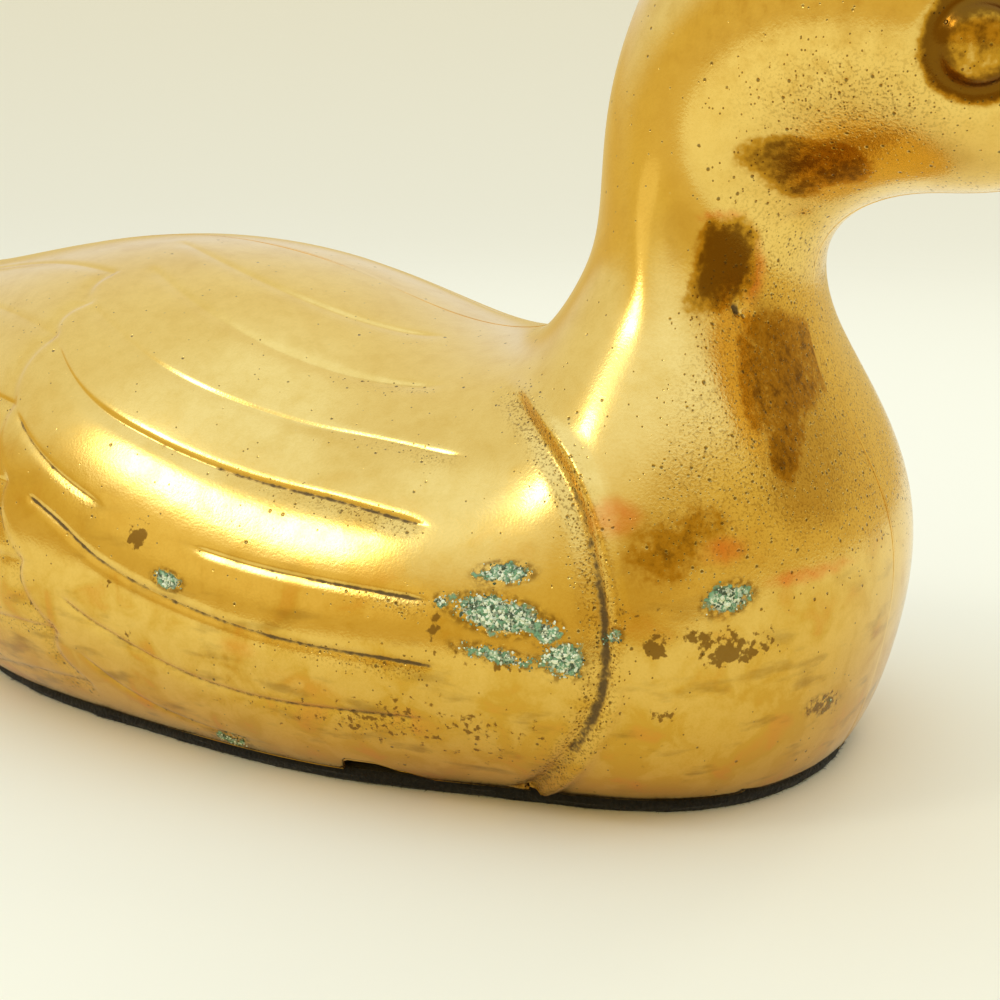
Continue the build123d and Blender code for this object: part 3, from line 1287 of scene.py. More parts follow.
        # The rim's lower edge is rounded, and the rows end on it
        above = flat[:, 2] - np.repeat(self._rim_height(stations), turns.shape[1])
        lower = turns.ravel() > math.pi / 2
        height -= self.edge_bevel * np.clip(1 - above / self.edge_round, 0, 1) ** 2 * lower
        points = (flat + flat_normals * height[:, None]).reshape(base.shape)
        points = round_tips(points, self.outer.centre(stations)[:, None], self.sizes)
        standing = turns[:, -1] < BELLY_TURN
        rim = self._rim_height(stations)
        points[standing, -1, 2] = rim[standing]
        points[..., 2] = np.maximum(points[..., 2], rim[:, None])
        points[..., 1] = np.maximum(points[..., 1], self.sizes.seam_gap / 2)
        rims = np.flatnonzero(standing)
        ends = np.array([points[0].mean(0), points[-1].mean(0)])
        ends[:, 0] = (-self.sizes.length / 2, self.sizes.length / 2)
        ends[:, 1] = self.sizes.seam_gap / 2
        marks = {name: np.r_[value, 0, 0] for name, value in marks.items()}
        every = np.vstack([points.reshape(-1, 3), ends])
        self.grains = CrustGrains(every[:-2], flat_normals, marks["crust"][:-2])
        return Skin(every, stations, turns.shape[1], int(rims[0]), int(rims[-1]) + 1), marks

    def inner_skin(self) -> Skin:
        """The plain inside, up to the solid tail and the solid bill.

        Returns:
            The skin with y positive.
        """
        stations = np.linspace(HOLLOW_TAIL, HOLLOW_BILL, self.grid.inner_columns)
        low_end = self.inner.turn_at_height(stations, np.full(len(stations), self.sizes.rim))
        turns = np.linspace(0, 1, self.grid.inner_rows)[None] * low_end[:, None]
        points = self.inner.point(stations[:, None], turns)
        points[..., 1] = np.maximum(points[..., 1], self.sizes.seam_gap / 2)
        ends = np.array([points[0].mean(0), points[-1].mean(0)])
        ends[:, 1] = self.sizes.seam_gap / 2
        rims = np.flatnonzero(low_end < BELLY_TURN)
        every = np.vstack([points.reshape(-1, 3), ends])
        return Skin(every, stations, turns.shape[1], int(rims[0]), int(rims[-1]) + 1)

    def build(self) -> bpy.types.Object:
        """Makes the half shell's mesh and mounts it.

        Returns:
            The half casting.
        """
        outer, marks = self.outer_skin()
        inner = self.inner_skin()
        shift = len(outer.points)
        faces = outer.faces() + [tuple(shift + corner for corner in face) for face in inner.faces()]
        inside = [(key, vertex + shift) for key, vertex in inner.loop(KEY_MARGIN)]
        faces += zip_loops(outer.loop(), inside)
        lumps, lump_faces, lump_tone = self.grains.build(shift + len(inner.points))
        points = np.vstack([outer.points, inner.points, lumps]) * (1, self.side.value, 1)
        name = f"{self.side.name.lower()}_half_casting"
        piece = Piece.make(name, points, faces + lump_faces)
        plain = np.zeros(len(inner.points) + len(lumps))
        marks = {key: np.r_[value, plain] for key, value in marks.items()}
        marks["grain"] = np.r_[np.zeros(shift + len(inner.points)), lump_tone]
        Piece.mark(piece, marks)
        Piece.mount(piece, "cast_brass", f"{self.side.name.lower()}_half_shell")
        return piece


@dataclass
class SeamBraze:
    """The strip of brazing metal between the halves, filed flush outside."""

    sizes: DuckSizes
    proud: float = 0.02 * MM
    outer_points: int = 640
    inner_points: int = 220

    def build(self) -> bpy.types.Object:
        """Makes the strip's mesh and mounts it.

        Returns:
            The strip.
        """
        flash = Figure(self.sizes, self.sizes.wall + self.sizes.flash, HOLLOW_FIRST, HOLLOW_LAST)
        whole = np.linspace(0, LAST_SECTION, self.outer_points)
        hollow = np.linspace(HOLLOW_TAIL, HOLLOW_BILL, self.inner_points)
        outer, outer_keys = self._profile(Figure(self.sizes), whole, self.proud, 0.0)
        inner, inner_keys = self._profile(flash, hollow, 0.0, KEY_MARGIN)
        half = self.sizes.seam_gap / 2
        points, faces = [], []
        counts = len(outer), len(inner)
        for y in (-half, half):
            for line in (outer, inner):
                points += [(x, y, z) for x, z in line]
        side = sum(counts)
        for number, count in enumerate(counts):
            start = number * counts[0]
            strip = range(start, start + count - 1)
            faces += [(i, i + 1, i + 1 + side, i + side) for i in strip]
        for offset in (0, side):
            loop = [(key, offset + i) for i, key in enumerate(outer_keys)]
            inner_loop = [(key, offset + counts[0] + i) for i, key in enumerate(inner_keys)]
            faces += zip_loops(loop, inner_loop)
        ends = ((0, counts[0]), (counts[0] - 1, side - 1))
        faces += [(first, second, second + side, first + side) for first, second in ends]
        piece = Piece.make("braze_line", np.array(points), faces)
        Piece.mount(piece, "braze_metal", "seam_braze")
        return piece

    def _profile(self, figure: Figure, stations: Array, proud: float, margin: float) -> tuple[Array, Array]:
        """Outline in the middle plane, from the rim's front over the bill and the tail to the rim's rear.

        Args:
            figure: The skin that it lies on.
            stations: Stations of its points.
            proud: How far it stands out of the skin.
            margin: How far its keys stay clear of whole numbers.

        Returns:
            Its points and their keys along the edge.
        """
        low = figure.point(stations, np.full(len(stations), math.pi))
        standing = np.flatnonzero(low[:, 2] > self.sizes.rim)
        gap = np.flatnonzero(np.diff(standing) > 1)[0]
        rear, front = standing[: gap + 1], standing[gap + 1 :]
        back = figure.point(stations[::-1], np.zeros(len(stations)))
        middles = figure.centre(stations)
        line = np.vstack([low[front], middles[-1:], back, middles[:1], low[rear]])[:, (0, 2)]
        centres = [middles[front], middles[-1:], middles[::-1], middles[:1], middles[rear]]
        centres = np.vstack(centres)[:, (0, 2)]
        keys = [
            edge_keys(0, stations[front], margin), [1 - margin], edge_keys(1, stations[::-1], margin),
            [2 - margin], edge_keys(2, stations[rear], margin),
        ]
        run = np.gradient(line, axis=0)
        run /= np.linalg.norm(run, axis=1)[:, None] + 1e-12
        line += proud * np.c_[run[:, 1], -run[:, 0]]
        line[[0, -1], 1] = self.sizes.rim
        half_length = self.sizes.length / 2
        line[:, 0] = np.clip(line[:, 0], -half_length, half_length)
        return round_tips(line, centres, self.sizes), np.concatenate(keys)


@dataclass
class FeltSole:
    """The black felt under the rim, cut a little smaller than it, with its fuzz."""

    sizes: DuckSizes
    seed: int = 7
    outline_points: int = 320
    fibres: int = 3800
    fibre_length: float = 0.55 * MM
    shortest_fibre: float = 0.35
    fibre_radius: float = 0.022 * MM
    fibre_root: float = 0.05 * MM
    # How far the fibres stray along each axis, and how far their tips stay off the table and below the rim
    fibre_stray: tuple[float, float, float] = (0.5, 0.5, 0.35)
    fibre_clear: tuple[float, float] = (0.05 * MM, 0.02 * MM)
    ring_shares: tuple[float, ...] = (0.985, 0.95, 0.85, 0.65, 0.4, 0.15)
    edge_ragged: float = 0.07 * MM
    # How far the cut edge swells at each share of its height
    edge_swell: tuple[tuple[float, float], ...] = (
        (0.0, -0.10 * MM), (0.06, 0.04 * MM), (0.22, 0.16 * MM), (0.42, 0.20 * MM), (0.62, 0.16 * MM),
        (0.82, 0.04 * MM), (1.0, -0.10 * MM),
    )

    def outline(self) -> Array:
        """The sole's outline, taken in from the rim and evenly spaced.

        Returns:
            Points with x and y.
        """
        figure = Figure(self.sizes)
        left = figure.point(*figure.rim_line())[:, :2]
        ring = np.vstack([left, left[::-1] * (1, -1)])
        way = np.r_[0, np.cumsum(np.linalg.norm(np.diff(ring, axis=0), axis=1))]
        marks = np.linspace(0, way[-1], self.outline_points, endpoint=False)
        even = np.c_[np.interp(marks, way, ring[:, 0]), np.interp(marks, way, ring[:, 1])]
        run = np.roll(even, -1, 0) - np.roll(even, 1, 0)
        run /= np.linalg.norm(run, axis=1)[:, None]
        return even + self.sizes.felt_inset * np.c_[run[:, 1], -run[:, 0]]

    def build(self) -> bpy.types.Object:
        """Makes the felt's mesh, with its fibres, and mounts it.

        Returns:
            The sole.
        """
        random = np.random.default_rng(self.seed)
        outline = self.outline()
        count = len(outline)
        middle = outline.mean(0)
        outward = self._outward(outline, middle)
        rings = self._edge_rings(random, outline, outward)
        low, high = self._cap(rings[0], middle, 0.0), self._cap(rings[-1], middle, self.sizes.rim)
        stack = [*low[::-1], *rings, *high]
        points = np.vstack([*stack, [(*middle, 0.0)], [(*middle, self.sizes.rim)]])
        faces: list[tuple[int, ...]] = []
        for level in range(len(stack) - 1):
            for i in range(count):
                j = (i + 1) % count
                a, b = level * count, (level + 1) * count
                faces.append((a + i, a + j, b + j, b + i))
        tip = len(stack) * count
        for i in range(count):
            j = (i + 1) % count
            faces.append((j, i, tip))
            faces.append((tip - count + i, tip - count + j, tip + 1))
        fibre_points, fibre_faces = self._fuzz(random, rings, outward, len(points))
        piece = Piece.make("felt_sole", np.vstack([points, fibre_points]), faces + fibre_faces)
        Piece.mount(piece, "black_felt", "felt_pad")
        return piece

    @staticmethod
    def _outward(outline: Array, middle: Array) -> Array:
        """Outward directions at the outline's points.

        Args:
            outline: The points.
            middle: A point inside.

        Returns:
            Unit vectors with x and y.
        """
        run = np.roll(outline, -1, 0) - np.roll(outline, 1, 0)
        run /= np.linalg.norm(run, axis=1)[:, None]
        outward = np.c_[-run[:, 1], run[:, 0]]
        return outward * np.sign((outward * (outline - middle)).sum(1))[:, None]

    def _edge_rings(self, random: np.random.Generator, outline: Array, outward: Array) -> list[Array]:
        """Rings of points up the felt's cut edge, which swells and is a little ragged.

        Args:
            random: The draws.
            outline: The sole's outline.
            outward: Outward directions at its points.

        Returns:
            The rings, from the table up.
        """
        rings = []
        for level, out in self.edge_swell:
            ragged = self.edge_ragged * random.standard_normal(len(outline))
            # Mixed with their neighbours, the draws keep their spread and lose their spikes
            ragged = (ragged + np.roll(ragged, 1) + np.roll(ragged, -1)) / 1.7
            ring = outline + outward * (out + ragged)[:, None]
            rings.append(np.c_[ring, np.full(len(outline), level * self.sizes.rim)])
        return rings

    def _cap(self, ring: Array, middle: Array, level: float) -> list[Array]:
        """Rings that close the top or the bottom of the felt, each inside the one before.

        Args:
            ring: The ring that is closed.
            middle: Where it closes.
            level: Its height.

        Returns:
            The rings.
        """
        heights = np.full(len(ring), level)
        return [np.c_[middle + (ring[:, :2] - middle) * share, heights] for share in self.ring_shares]

    def _fuzz(
        self, random: np.random.Generator, rings: list[Array], outward: Array, start: int
    ) -> tuple[Array, list[tuple[int, ...]]]:
        """Loose fibres that stand out of the felt's cut edge.

        Args:
            random: The draws.
            rings: Rings of points up the edge.
            outward: Outward directions at a ring's points.
            start: Number of the first fibre's first vertex.

        Returns:
            The fibres' vertices and faces.
        """
        lowest, highest = self.fibre_clear[0], self.sizes.rim - self.fibre_clear[1]
        points, faces = [], []
        for number in range(self.fibres):
            ring = rings[random.integers(1, len(rings) - 1)]
            i = random.integers(0, len(ring))
            root = ring[i] - np.r_[outward[i], 0] * self.fibre_root
            length = self.fibre_length * random.uniform(self.shortest_fibre, 1.0)
            aim = np.r_[outward[i], 0] + random.standard_normal(3) * self.fibre_stray
            tip = root + aim / np.linalg.norm(aim) * length
            tip[2] = np.clip(tip[2], lowest, highest)
            side = np.cross(aim, (0.0, 0.0, 1.0))
            side /= np.linalg.norm(side) + 1e-12
            over = np.cross(aim, side)
            over /= np.linalg.norm(over) + 1e-12
            first = start + 4 * number
            for turn in (0.0, 2.1, 4.2):
                spread = (math.cos(turn) * side + math.sin(turn) * over) * self.fibre_radius
                points.append(np.r_[root[:2] + spread[:2], max(root[2] + spread[2], 0)])
            points.append(tip)
            corners = ((0, 1, 3), (1, 2, 3), (2, 0, 3), (0, 2, 1))
            faces += [tuple(first + corner for corner in face) for face in corners]
        return np.array(points), faces


class Socket:
    """An output of a shader node. Arithmetic on it adds Math nodes."""

    def __init__(self, graph: "Graph", output: bpy.types.NodeSocket) -> None:
        """Wraps an output of a node in a graph."""
        self.graph, self.output = graph, output

    def _math(self, operation: str, *values: Any) -> "Socket":
        """A Math node on the values."""
        return self.graph.add("ShaderNodeMath", {"operation": operation}, dict(enumerate(values)))

    def __add__(self, other: Any) -> "Socket":
        """Sum."""
        return self._math("ADD", self, other)

    __radd__ = __add__

    def __mul__(self, other: Any) -> "Socket":
        """Product."""
        return self._math("MULTIPLY", self, other)

    __rmul__ = __mul__

    def __sub__(self, other: Any) -> "Socket":
        """Difference."""
        return self._math("SUBTRACT", self, other)

    def __rsub__(self, other: Any) -> "Socket":
        """Difference from a number."""
        return self._math("SUBTRACT", other, self)

    def __lt__(self, other: Any) -> "Socket":
        """1 where this is less than the other."""
        return self._math("LESS_THAN", self, other)

    def power(self, exponent: float) -> "Socket":
        """Power."""
        return self._math("POWER", self, exponent)

    def clamped(self) -> "Socket":
        """The value kept between 0 and 1."""
        return self.graph.add("ShaderNodeClamp", {}, {"Value": self})

    def largest(self, other: Any) -> "Socket":
        """The larger of two values."""
        return self._math("MAXIMUM", self, other)

    def rise(self, low: float, high: float) -> "Socket":
        """Smooth rise from 0 at low to 1 at high.

        Args:
            low: Value where it starts.
            high: Value where it ends.

        Returns:
            The rise.
        """
        settings = {"interpolation_type": "SMOOTHSTEP"}
        inputs = {"Value": self, "From Min": low, "From Max": high}
        return self.graph.add("ShaderNodeMapRange", settings, inputs)


class Graph:
    """The node tree of a material or of the world."""

    def __init__(self, tree: bpy.types.NodeTree) -> None:
        """Empties a node tree to build in it."""
        tree.nodes.clear()
        self.tree = tree

    def add(self, kind: str, settings: dict[str, Any], inputs: dict[Any, Any], output: Any = 0) -> Socket:
        """Adds a node.

        Args:
            kind: The node's type.
            settings: Its settings; stops are those of a colour ramp.
            inputs: Values or links of its sockets, by name or number.
            output: Name or number of the output that is wanted.

        Returns:
            The output.
        """
        node = self.tree.nodes.new(kind)
        for name, value in settings.items():
            if name == "stops":
                elements = node.color_ramp.elements
                while len(elements) < len(value):
                    elements.new(1.0)
                for element, (place, colour) in zip(elements, value):
                    element.position, element.color = place, colour
            else:
                setattr(node, name, value)
        for key, value in inputs.items():
            socket = node.inputs[key]
            if isinstance(value, Socket):
                self.tree.links.new(value.output, socket)
            else:
                socket.default_value = value
        if not len(node.outputs):
            return Socket(self, None)
        return Socket(self, node.outputs[output])

    def place(self) -> Socket:
        """The point's place on the duck, in metres."""
        return self.add("ShaderNodeTexCoord", {}, {}, "Object")

    def noise(
        self, scale: float, detail: float = 2.0, vector: Socket | None = None, **inputs: float
    ) -> Socket:
        """Noise of a scale in waves per metre.

        Args:
            scale: Waves per metre.
            detail: How many finer layers it has.
            vector: Where it is looked up, or None for the place on the duck.
            inputs: Further inputs of the node, by name.

        Returns:
            The noise, from 0 to 1.
        """
        values = {"Vector": vector or self.place(), "Scale": scale, "Detail": detail}
        values.update({key.replace("_", " ").title(): value for key, value in inputs.items()})
        return self.add("ShaderNodeTexNoise", {}, values)

    def mark(self, name: str) -> Socket:
        """A mark stored on the mesh."""
        return self.add("ShaderNodeAttribute", {"attribute_name": name}, {}, "Fac")

    def blend(self, factor: Any, first: Any, second: Any, mode: str = "MIX") -> Socket:
        """Mix of two colours.

        Args:
            factor: How much of the second colour shows.
            first: First colour.
            second: Second colour.
            mode: How they mix.

        Returns:
            The mix.
        """
        settings = {"data_type": "RGBA", "blend_type": mode}
        return self.add("ShaderNodeMix", settings, {0: factor, 6: first, 7: second}, 2)

    def dot(self, first: Socket, second: Sequence[float]) -> Socket:
        """Dot product of two vectors."""
        return self.add("ShaderNodeVectorMath", {"operation": "DOT_PRODUCT"}, {0: first, 1: second}, "Value")

    def scale(self, vector: Socket, factors: Sequence[float]) -> Socket:
        """A vector times factors along its axes."""
        return self.add("ShaderNodeVectorMath", {"operation": "MULTIPLY"}, {0: vector, 1: factors})


class Finish:
    """Base of the finishes: makes a material and its graph."""

    name = "finish"

    def material(self) -> bpy.types.Material:
        """Builds the material.

        Returns:
            The material.
        """
        made = bpy.data.materials.new(self.name)
        made.use_nodes = True
        graph = Graph(made.node_tree)
        surface = self.surface(graph)
        graph.add("ShaderNodeOutputMaterial", {}, {"Surface": surface})
        return made

    def surface(self, graph: Graph) -> Socket:
        """The shader that shows."""
        raise NotImplementedError

    def dress(self, piece: bpy.types.Object) -> None:
        """Gives a piece this finish."""
        piece.data.materials.clear()
        piece.data.materials.append(self.material())


@dataclass(frozen=True)
class OldBrass(Finish):
    """Polished brass that has aged: dull patches, dirt with painted shade in the carving, pits and green
    crusts, with painted shade low down and painted dark reflections in brown marks.
    """

    name: str = "old_polished_brass"
    gold: Colour = (0.87, 0.60, 0.160, 1.0)
    amber_age_and_shade: Colour = (0.66, 0.38, 0.045, 1.0)
    copper: Colour = (0.78, 0.26, 0.045, 1.0)
    stain: Colour = (0.20, 0.095, 0.015, 1.0)
    brown: Colour = (0.54, 0.27, 0.020, 1.0)
    tarnish: Colour = (0.19, 0.080, 0.006, 1.0)
    dirt_and_shade: Colour = (0.085, 0.048, 0.012, 1.0)
    crust_dark: Colour = (0.060, 0.090, 0.040, 1.0)
    crust_teal: Colour = (0.190, 0.380, 0.200, 1.0)
    crust_white: Colour = (0.84, 0.89, 0.64, 1.0)
    roughness: float = 0.10

    def surface(self, graph: Graph) -> Socket:
        """The brass shader.

        Args:
            graph: The material's graph.

        Returns:
            The shader.
        """
        place = graph.place()
        cloud, mottle = graph.noise(28, 3), graph.noise(230, 6, distortion=0.6)
        blot, grain, speckle = graph.noise(700, 4), graph.noise(1800, 3), graph.noise(4200, 2)
        recess, pitting, tone = graph.mark("recess"), graph.mark("pitting"), graph.mark("grain")
        stain_mark, crust_mark, hole = graph.mark("stain"), graph.mark("crust"), graph.mark("hole")
        # Age turns the metal from gold to amber; low, darker amber towards the bottom, is partly age and
        # partly painted shade, and the copper mottle and the streaks there grow with it
        low = graph.add("ShaderNodeSeparateXYZ", {}, {0: place}, 2).rise(0.034, 0.002)
        aged = cloud.rise(0.40, 0.70) * 0.25 + low * 0.50 + mottle.rise(0.42, 0.68) * (0.16 + low * 0.5)
        aged = (aged + blot.rise(0.40, 0.70) * 0.14 + speckle.rise(0.40, 0.65) * 0.10).clamped()
        streak = graph.noise(330, 5, graph.scale(place, (0.45, 0.45, 1.6))).rise(0.54, 0.72) * low * 0.55
        metal = graph.blend(aged, self.gold, self.amber_age_and_shade)
        # Copper blushes, and brown marks with ragged edges: tarnish, painted dark reflections, and painted
        # shade in the eye's ring groove
        blush = (graph.mark("blush") * (mottle * 1.2 + blot * 0.8)).rise(0.10, 0.90)
        metal = graph.blend(blush.largest(mottle.rise(0.56, 0.70) * low * 0.35), metal, self.copper)
        tarnish = graph.mark("tarnish")
        ragged = (mottle + blot + grain - 1.5) * tarnish.rise(0.0, 0.4) * 0.60
        tarnish = (tarnish * 1.1 + ragged).rise(0.05, 1.0)
        metal = graph.blend(tarnish.rise(0.0, 0.55), metal, self.brown)
        metal = graph.blend(tarnish.rise(0.5, 1.0), metal, self.tarnish)
        # Brown stains, sanded patches, the rings round crusts, painted shade in the carving, and the streaks
        # low down, which grow with the painted shade there
        stained = (stain_mark * 0.9 + blot * 1.1 + grain * 1.2 - 1.58).rise(0.0, 0.16)
        stained = stained * stain_mark.rise(0.03, 0.15)
        dulled = stained.largest(recess.rise(0.05, 0.9) * 0.30)
        sand = speckle.rise(0.50, 0.66) * pitting.rise(0.05, 0.8)
        around = crust_mark.rise(0.02, 0.25) * grain.rise(0.35, 0.60) * 0.7
        browned = (dulled * 0.85).largest(sand * 0.60).largest(around).largest(streak)
        metal = graph.blend(browned, metal, self.stain)
        # Black dirt and painted shade in the carving, in the pits and in the pin hole
        dirt_and_shade = (recess * 1.25 + grain * 0.8 + blot * 0.8 - 1.28).rise(0.0, 0.50).largest(hole.rise(0.35, 0.6))
        pits = self._pits(graph, place, pitting)
        metal = graph.blend((dirt_and_shade * 0.9).largest(pits * 0.75), metal, self.dirt_and_shade)
        # Green crusts with pale grains
        film = (crust_mark * 1.1 + blot * 1.3 + grain * 1.0 - 1.55).rise(0.0, 0.25)
        film = film * crust_mark.rise(0.03, 0.12)
        crust = film.largest(tone.rise(0.05, 0.15))
        green = graph.blend(grain.rise(0.40, 0.60), self.crust_dark, self.crust_teal)
        pale = (speckle.rise(0.43, 0.56) * crust_mark.rise(0.35, 0.9)).largest(tone.rise(0.35, 0.85))
        colour = graph.blend(crust, metal, graph.blend(pale, green, self.crust_white))
        # Dirt, painted shade and crusts are dull, and everything is a little uneven
        metallic = 1 - crust.largest(dirt_and_shade * 0.6)
        rough = self.roughness + cloud * 0.05 + mottle.rise(0.4, 0.7) * 0.05 + pitting * 0.07 + speckle * 0.05
        rough = rough + dirt_and_shade * 0.4 + dulled * 0.2 + crust * 0.6 + tarnish * 0.05
        height = speckle * (0.10 + pitting * 0.5) - pits * 0.9 + crust * grain * 3.0
        height = height + blot * 0.10 + mottle * 0.15
        normal = graph.add("ShaderNodeBump", {}, {"Strength": 0.35, "Distance": 0.0002, "Height": height})
        return graph.add(
            "ShaderNodeBsdfPrincipled", {},
            {"Base Color": colour, "Metallic": metallic, "Roughness": rough.clamped(), "Normal": normal},
        )

    def _pits(self, graph: Graph, place: Socket, density: Socket) -> Socket:
        """Small dark pits, more where the density is high.

        Args:
            graph: The material's graph.
            place: The place on the duck.
            density: How many pits there are, from 0 to 1.

        Returns:
            The pits, from 0 to 1.
        """
        found = None
        for scale, radius, base in ((1500, 0.30, 0.012), (3300, 0.36, 0.012)):
            cells = {"Vector": place, "Scale": scale, "Randomness": 1.0}
            far = graph.add("ShaderNodeTexVoronoi", {}, cells, "Distance")
            tint = graph.add("ShaderNodeTexVoronoi", {}, cells, "Color")
            chance = graph.add("ShaderNodeSeparateColor", {}, {0: tint})
            spot = far.rise(radius, radius * 0.45) * (chance < (density * 0.55 + base))
            found = spot if found is None else found.largest(spot)
        return found


@dataclass(frozen=True)
class BrazeMetal(Finish):
    """Brazing metal, filed and polished with the castings, so that it hardly shows."""

    name: str = "braze_metal"
    colour: Colour = (0.87, 0.60, 0.160, 1.0)
    dull: Colour = (0.76, 0.49, 0.10, 1.0)
    roughness: float = 0.13

    def surface(self, graph: Graph) -> Socket:
        """The braze shader.

        Args:
            graph: The material's graph.

        Returns:
            The shader.
        """
        cloud = graph.noise(220, 4)
        colour = graph.blend(cloud.rise(0.4, 0.7), self.colour, self.dull)
        inputs = {"Base Color": colour, "Metallic": 1.0, "Roughness": self.roughness + cloud * 0.08}
        return graph.add("ShaderNodeBsdfPrincipled", {}, inputs)


@dataclass(frozen=True)
class BlackFelt(Finish):
    """Pressed black felt."""

    name: str = "black_felt"
    deep: Colour = (0.004, 0.004, 0.005, 1.0)
    fluff: Colour = (0.014, 0.013, 0.014, 1.0)

    def surface(self, graph: Graph) -> Socket:
        """The felt shader.

        Args:
            graph: The material's graph.

        Returns:
            The shader.
        """
        fibres = graph.noise(2600, 6)
        colour = graph.blend(fibres.rise(0.35, 0.75), self.deep, self.fluff)
        normal = graph.add("ShaderNodeBump", {}, {"Strength": 0.7, "Distance": 0.0004, "Height": fibres})
        inputs = {"Base Color": colour, "Roughness": 0.97, "Normal": normal}
        inputs.update({"Sheen Weight": 0.10, "Sheen Roughness": 0.6})
        return graph.add("ShaderNodeBsdfPrincipled", {}, inputs)


@dataclass(frozen=True)
class GreyCard(Finish):
    """Grey backing card with its fibres."""

    name: str = "grey_card"
    pale: Colour = (0.36, 0.34, 0.31, 1.0)
    dark: Colour = (0.22, 0.21, 0.19, 1.0)

    def surface(self, graph: Graph) -> Socket:
        """The card shader.

        Args:
            graph: The material's graph.

        Returns:
            The shader.
        """
        fibres = graph.noise(900, 8)
        colour = graph.blend(fibres.rise(0.3, 0.7), self.dark, self.pale)
        normal = graph.add("ShaderNodeBump", {}, {"Strength": 0.3, "Distance": 0.0002, "Height": fibres})
        inputs = {"Base Color": colour, "Roughness": 0.9, "Normal": normal}
        return graph.add("ShaderNodeBsdfPrincipled", {}, inputs)


@dataclass(frozen=True)
class PaleGround(Finish):
    """The studio's pale cream floor."""

    name: str = "pale_ground"
    colour: Colour = (0.97, 0.93, 0.69, 1.0)
    shade: Colour = (0.84, 0.78, 0.55, 1.0)

    def surface(self, graph: Graph) -> Socket:
        """The floor shader: painted shade makes it a little darker far from the duck.

        Args:
            graph: The material's graph.

        Returns:
            The shader.
        """
        far = graph.add("ShaderNodeVectorMath", {"operation": "LENGTH"}, {0: graph.place()}, "Value")
        colour = graph.blend(far.rise(0.08, 0.60), self.colour, self.shade)
        return graph.add("ShaderNodeBsdfPrincipled", {}, {"Base Color": colour, "Roughness": 0.75})


@dataclass(frozen=True)
class WallPatch:
    """A soft patch of the surroundings: its direction and half size in degrees, and its light."""

    azimuth: float
    elevation: float
    wide: float
    high: float
    colour: Colour
    weight: float = 1.0


@dataclass(frozen=True)
class Lamp:
    """An area lamp: what it faces, its direction in degrees and distance from there, its size and power."""

    name: str
    target: tuple[float, float, float]
    azimuth: float
    elevation: float
    far: float
    size: tuple[float, float]
    power: float


WALL_STOPS = (
    (0.00, (0.82, 0.74, 0.50, 1.0)),
    (0.50, (0.76, 0.62, 0.27, 1.0)),
    (0.62, (0.76, 0.62, 0.23, 1.0)),
    (0.73, (0.80, 0.69, 0.32, 1.0)),
    (0.88, (1.05, 1.20, 1.60, 1.0)),
    (1.00, (1.02, 1.18, 1.60, 1.0)),
)

WALL_PATCHES = (
    WallPatch(-108, 40, 50, 32, (0.88, 0.92, 0.98, 1.0), 0.95),
    WallPatch(-26, 20, 17, 13, (1.00, 0.88, 0.50, 1.0), 0.7),
    WallPatch(36, 19, 26, 15, (0.52, 0.36, 0.11, 1.0), 0.30),
    WallPatch(128, 18, 32, 12, (0.50, 0.36, 0.12, 1.0), 0.9),
    WallPatch(-155, 34, 40, 30, (0.90, 0.94, 1.00, 1.0), 0.9),
    WallPatch(-37, 40, 8, 13, (1.60, 1.70, 2.10, 1.0)),
)

LAMPS = (
    Lamp("window", (-0.005, -0.031, 0.026), -37, 40, 0.50, (0.085, 0.115), 0.24),
    Lamp("rear_window", (0.0, 0.030, 0.030), 172, 44, 0.60, (0.12, 0.16), 0.20),
)


